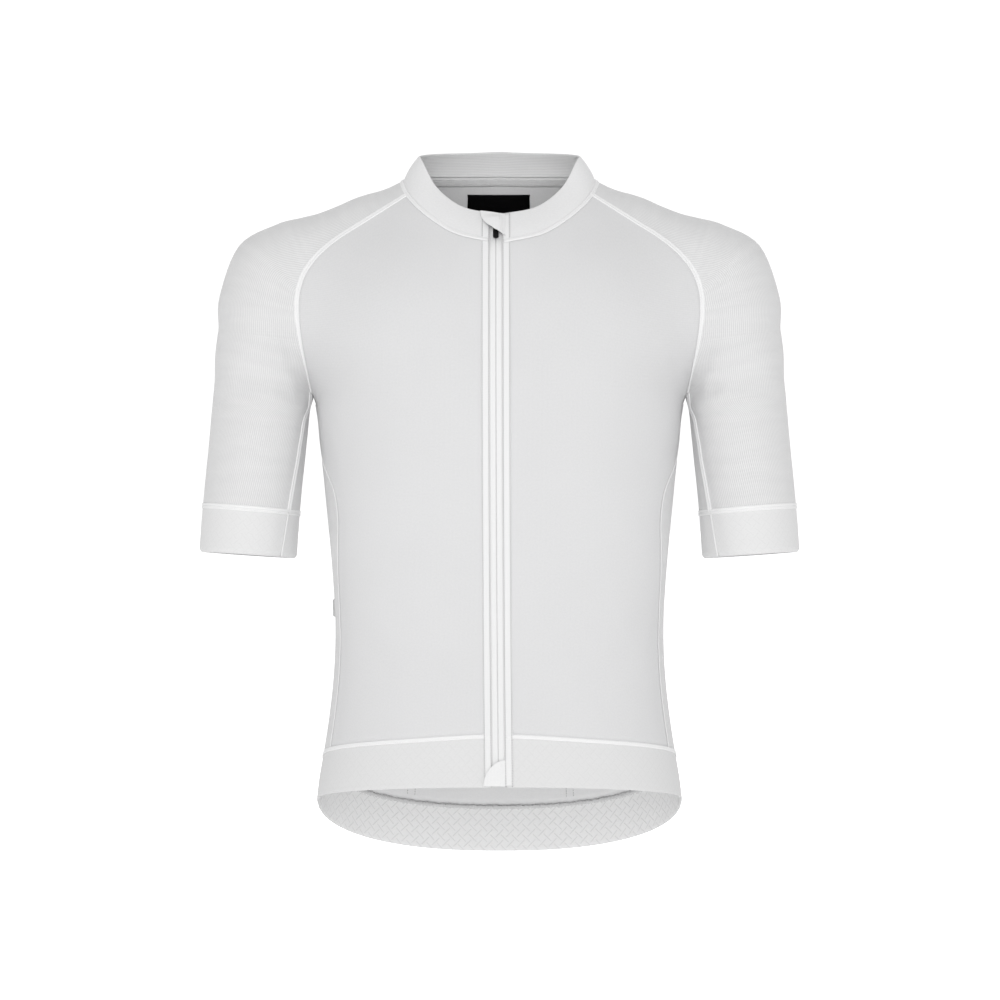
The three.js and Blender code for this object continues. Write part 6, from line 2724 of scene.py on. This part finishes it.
@dataclass
class Slider:
    """The slider body with its two ears, and the pull tab on its pin."""

    cloths: Cloths
    finishes: Finishes
    z: float = -33.0
    size: Triple = (7.2, 1.9, 9.5)
    back: float = -1.6
    corner: float = 1.8
    ear: Triple = (0.9, 2.2, 3.0)
    ear_inner: float = 1.5
    hole: float = 0.75
    hinge: Pair = (2.5, 1.35)
    pin: Pair = (0.45, 5.0)
    barrel: Pair = (0.85, 2.4)
    tab: Triple = (5.2, 1.0, 16.4)
    neck: Pair = (2.3, 3.2)
    shoulder: float = 1.6
    tip: float = 2.5

    def build(self) -> None:
        """Makes the slider and its pull."""
        slider = self._body()
        pull = self._pull()
        for thing, node, body, finish in (
            (slider, "zip_slider", "jersey", self.finishes.slider),
            (pull, "zip_pull", "pull", self.finishes.pull),
        ):
            thing.data.transform(self._laid())
            thing.data.materials.clear()
            thing.data.materials.append(finish)
            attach(thing, body)
            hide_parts(node)
            log.info("%s made", thing.name)

    def _laid(self) -> Matrix:
        """From upright in front of the zip to the zip's slope at the slider.

        Returns:
            The move.
        """
        at, above, below = (self.cloths.pattern.zip_point(0, self.z + d)[0] for d in (0, 4, -4))
        slope = math.atan2(above[1] - below[1], above[2] - below[2])
        return Matrix.Translation(Vector(at * 0.001)) @ Matrix.Rotation(-slope, 4, "X")

    @staticmethod
    def _block(name: str, centre: Sequence[float], size: Sequence[float]) -> Thing:
        """A block with its size and place in its mesh, left in edit mode.

        Args:
            name: Its name.
            centre: Its middle.
            size: Its size.

        Returns:
            The block.
        """
        bpy.ops.object.select_all(action="DESELECT")
        bpy.ops.mesh.primitive_cube_add(size=0.001, location=(0, 0, 0))
        block = bpy.context.object
        block.name = name
        bpy.ops.object.mode_set(mode="EDIT")
        bpy.ops.mesh.select_all(action="SELECT")
        bpy.ops.transform.resize(value=tuple(size), center_override=(0, 0, 0))
        bpy.ops.transform.translate(value=tuple(c * 0.001 for c in centre))
        return block

    @staticmethod
    def _rod(name: str, radius: float, length: float, up: float, out: float) -> Thing:
        """A rod across the slider with rounded ends.

        Args:
            name: Its name.
            radius: Its radius.
            length: Its length.
            up: Its height.
            out: How far out it lies.

        Returns:
            The rod.
        """
        bpy.ops.object.select_all(action="DESELECT")
        bpy.ops.mesh.primitive_cylinder_add(vertices=24, radius=radius * 0.001, depth=length * 0.001)
        rod = bpy.context.object
        rod.name = name
        turn = Matrix.Rotation(math.pi / 2, 4, "Y")
        rod.data.transform(Matrix.Translation((0, -out * 0.001, up * 0.001)) @ turn)
        apply_modifier(rod, "BEVEL", width=0.00012, segments=2, limit_method="ANGLE")
        return rod

    @staticmethod
    def _round_edges(thing: Thing, test: Callable[[Vector, Vector], bool], width: float) -> None:
        """Rounds the edges of an object in edit mode whose ends pass a test.

        Args:
            thing: The object.
            test: Takes an edge's two ends.
            width: How wide the rounding is.
        """
        bpy.ops.mesh.select_all(action="DESELECT")
        bpy.ops.mesh.select_mode(type="EDGE")
        edit = bmesh.from_edit_mesh(thing.data)
        for edge in edit.edges:
            edge.select = test(*(v.co * 1000 for v in edge.verts))
        bmesh.update_edit_mesh(thing.data)
        bpy.ops.mesh.bevel(offset=width * 0.001, segments=6, affect="EDGES")
        bpy.ops.mesh.select_mode(type="VERT")

    @staticmethod
    def _recess(thing: Thing, margin: float, depth: float) -> None:
        """Sinks a panel into the largest face that looks to the front, in edit mode.

        Args:
            thing: The object.
            margin: The rim that stays.
            depth: How deep the panel is.
        """
        bpy.ops.mesh.select_all(action="DESELECT")
        bpy.ops.mesh.select_mode(type="FACE")
        edit = bmesh.from_edit_mesh(thing.data)
        edit.normal_update()
        fronts = [f for f in edit.faces if f.normal.y < -0.9]
        max(fronts, key=lambda f: f.calc_area()).select = True
        bmesh.update_edit_mesh(thing.data)
        bpy.ops.mesh.inset(thickness=margin * 0.001)
        bpy.ops.mesh.extrude_region_move(TRANSFORM_OT_translate={"value": (0, depth * 0.001, 0)})
        bpy.ops.mesh.select_mode(type="VERT")

    @staticmethod
    def _joined(things: Sequence[Thing]) -> Thing:
        """The objects joined into the first, with smooth faces.

        Args:
            things: The objects.

        Returns:
            The first of them.
        """
        bpy.ops.object.select_all(action="DESELECT")
        for thing in things:
            thing.select_set(True)
        bpy.context.view_layer.objects.active = things[0]
        bpy.ops.object.join()
        bpy.ops.object.shade_smooth_by_angle(angle=math.radians(40))
        return bpy.context.object

    def _body(self) -> Thing:
        """The slider's plate with a shallow panel and two ears with holes for the pin.

        Returns:
            The slider.
        """
        thick = self.size[1]
        middle = -(self.back + thick / 2)
        plate = self._block("zip_slider_body", (0, middle, 0), self.size)
        self._round_edges(plate, lambda a, b: abs(a.y - b.y) > thick * 0.5, self.corner)
        self._recess(plate, 0.8, 0.25)
        bpy.ops.object.mode_set(mode="OBJECT")
        apply_modifier(plate, "BEVEL", width=0.0002, segments=2, limit_method="ANGLE")
        face = self.back + thick
        ears = []
        for side in (-1, 1):
            x = side * (self.ear_inner + self.ear[0] / 2)
            out = face + self.ear[1] / 2 - 0.35
            size = (self.ear[0], self.ear[1] + 0.7, self.ear[2])
            ear = self._block("ear", (x, -out, self.hinge[0]), size)
            self._round_edges(ear, lambda a, b: abs(a.x - b.x) > 0.5 and min(-a.y, -b.y) > out, 0.9)
            bpy.ops.object.mode_set(mode="OBJECT")
            drill = self._rod("drill", self.hole, 4.0, *self.hinge)
            drill.data.transform(Matrix.Translation((x * 0.001, 0, 0)))
            apply_modifier(ear, "BOOLEAN", operation="DIFFERENCE", object=drill, solver="EXACT")
            bpy.data.objects.remove(drill)
            ears.append(ear)
        return self._joined([plate, *ears])

    def _pull(self) -> Thing:
        """The pull tab: a rounded plate with a sunk panel, a neck, a barrel and a pin.

        Returns:
            The pull.
        """
        width, thick, length = self.tab
        up, out = self.hinge
        neck, neck_length = self.neck
        blade = length - neck_length - self.shoulder
        low = up - length
        pull = self._block("zip_pull_tab", (0, -out, low + blade / 2), (width, thick, blade))
        for rise, narrow in ((self.shoulder, neck / width), (neck_length, 1.0)):
            edit = bmesh.from_edit_mesh(pull.data)
            top = max(v.co.z for v in edit.verts)
            select_where(pull, lambda p: p.z > top - 1e-6)
            move = {"value": (0, 0, rise * 0.001)}
            bpy.ops.mesh.extrude_region_move(TRANSFORM_OT_translate=move)
            centre = (0, -out * 0.001, top + rise * 0.001)
            bpy.ops.transform.resize(value=(narrow, 1, 1), center_override=centre)
        self._round_edges(
            pull, lambda a, b: max(a.z, b.z) < low + 0.1 and abs(a.y - b.y) > 0.5, self.tip
        )
        self._recess(pull, 0.85, 0.2)
        bpy.ops.object.mode_set(mode="OBJECT")
        apply_modifier(pull, "BEVEL", width=0.00022, segments=3, limit_method="ANGLE")
        barrel = self._rod("barrel", self.barrel[0], self.barrel[1], up, out)
        pin = self._rod("pin", self.pin[0], self.pin[1], up, out)
        return self._joined([pull, barrel, pin])


@dataclass
class Studio:
    """Camera, lights and floor."""

    distance: float = 3.0
    middle: Pair = (0.0005, -0.28135)
    width_at_object: float = 0.94
    sensor: float = 36.0
    floor: float = -0.9

    def build(self) -> None:
        """Makes them."""
        bpy.context.scene.view_settings.view_transform = "Standard"
        camera_data = bpy.data.cameras.new("camera")
        camera = bpy.data.objects.new("camera", camera_data)
        bpy.context.scene.collection.objects.link(camera)
        camera.location = (self.middle[0], -self.distance, self.middle[1])
        camera.rotation_euler = (math.pi / 2, 0, 0)
        camera_data.sensor_width = self.sensor
        camera_data.lens = self.sensor * self.distance / self.width_at_object
        bpy.context.scene.camera = camera
        self._lights()
        self._floor()

    def _light(self, name: str, place: Triple, size: float, power: float) -> None:
        """A soft square light that points at the object's middle.

        Args:
            name: Its name.
            place: Where it is.
            size: Its width.
            power: Its power in watts.
        """
        data = bpy.data.lights.new(name, "AREA")
        data.size = size
        data.energy = power
        light = bpy.data.objects.new(name, data)
        bpy.context.scene.collection.objects.link(light)
        light.location = place
        aim = Vector((0, 0, -0.3)) - Vector(place)
        light.rotation_euler = aim.to_track_quat("-Z", "Y").to_euler()
        light.visible_camera = False

    def _lights(self) -> None:
        """A bright surround with a soft frontal light."""
        world = bpy.data.worlds.new("surround")
        bpy.context.scene.world = world
        world.use_nodes = True
        tree = world.node_tree
        background = tree.nodes["Background"]
        background.inputs["Color"].default_value = (1, 1, 1, 1)
        path = tree.nodes.new("ShaderNodeLightPath")
        value = Sock(tree, path.outputs["Is Camera Ray"]) * 0.4 + 0.7
        tree.links.new(value.socket, background.inputs["Strength"])
        self._light("front", (-0.1, -4.2, 0.5), 2.4, 52)
        self._light("back", (0.4, 4.2, 0.9), 2.4, 44)

    def _floor(self) -> None:
        """A wide pale floor below the hem."""
        shader = Shader("floor")
        shader.fixed(Roughness=0.9)
        shader.surface.inputs["Base Color"].default_value = (0.85, 0.85, 0.85, 1)
        path = shader.node("ShaderNodeLightPath")
        glow = Sock(shader.tree, path.outputs["Is Camera Ray"]) * 0.5 + 0.26
        shader.tree.links.new(glow.socket, shader.surface.inputs["Emission Color"])
        shader.surface.inputs["Emission Strength"].default_value = 1.0
        bpy.ops.object.select_all(action="DESELECT")
        place = (0, 0, self.floor)
        bpy.ops.mesh.primitive_circle_add(vertices=64, radius=60, fill_type="NGON", location=place)
        floor = bpy.context.object
        floor.name = "floor"
        floor.data.materials.append(shader.material)


def main() -> None:
    """Builds the jersey's sub-assemblies in order."""
    logging.basicConfig(level=logging.INFO, format="%(name)s: %(message)s", stream=sys.stdout)
    creases = Creases(mirrored_folds(FRONT_FOLDS + BACK_FOLDS + SLEEVE_FOLDS))
    cloths = Cloths(Pattern(Skin()), creases)
    finishes = Finishes()
    made = []
    for part in (Zip, Body, Sleeves, Hem, Collar, Flaps, Pockets):
        made.append(part(cloths, finishes))
        made[-1].build()
        log.info("%s made", part.__name__)
    zip_parts, body, sleeves, hem, collar, _, pockets = made
    Seams(cloths, finishes, body, sleeves, hem, collar, zip_parts, pockets).build()
    NeckTrims(cloths, finishes, body.back).build()
    Coil(cloths, finishes, zip_parts).build()
    SideTab(cloths, finishes).build()
    Slider(cloths, finishes).build()
    Studio().build()


if __name__ == "__main__":
    main()
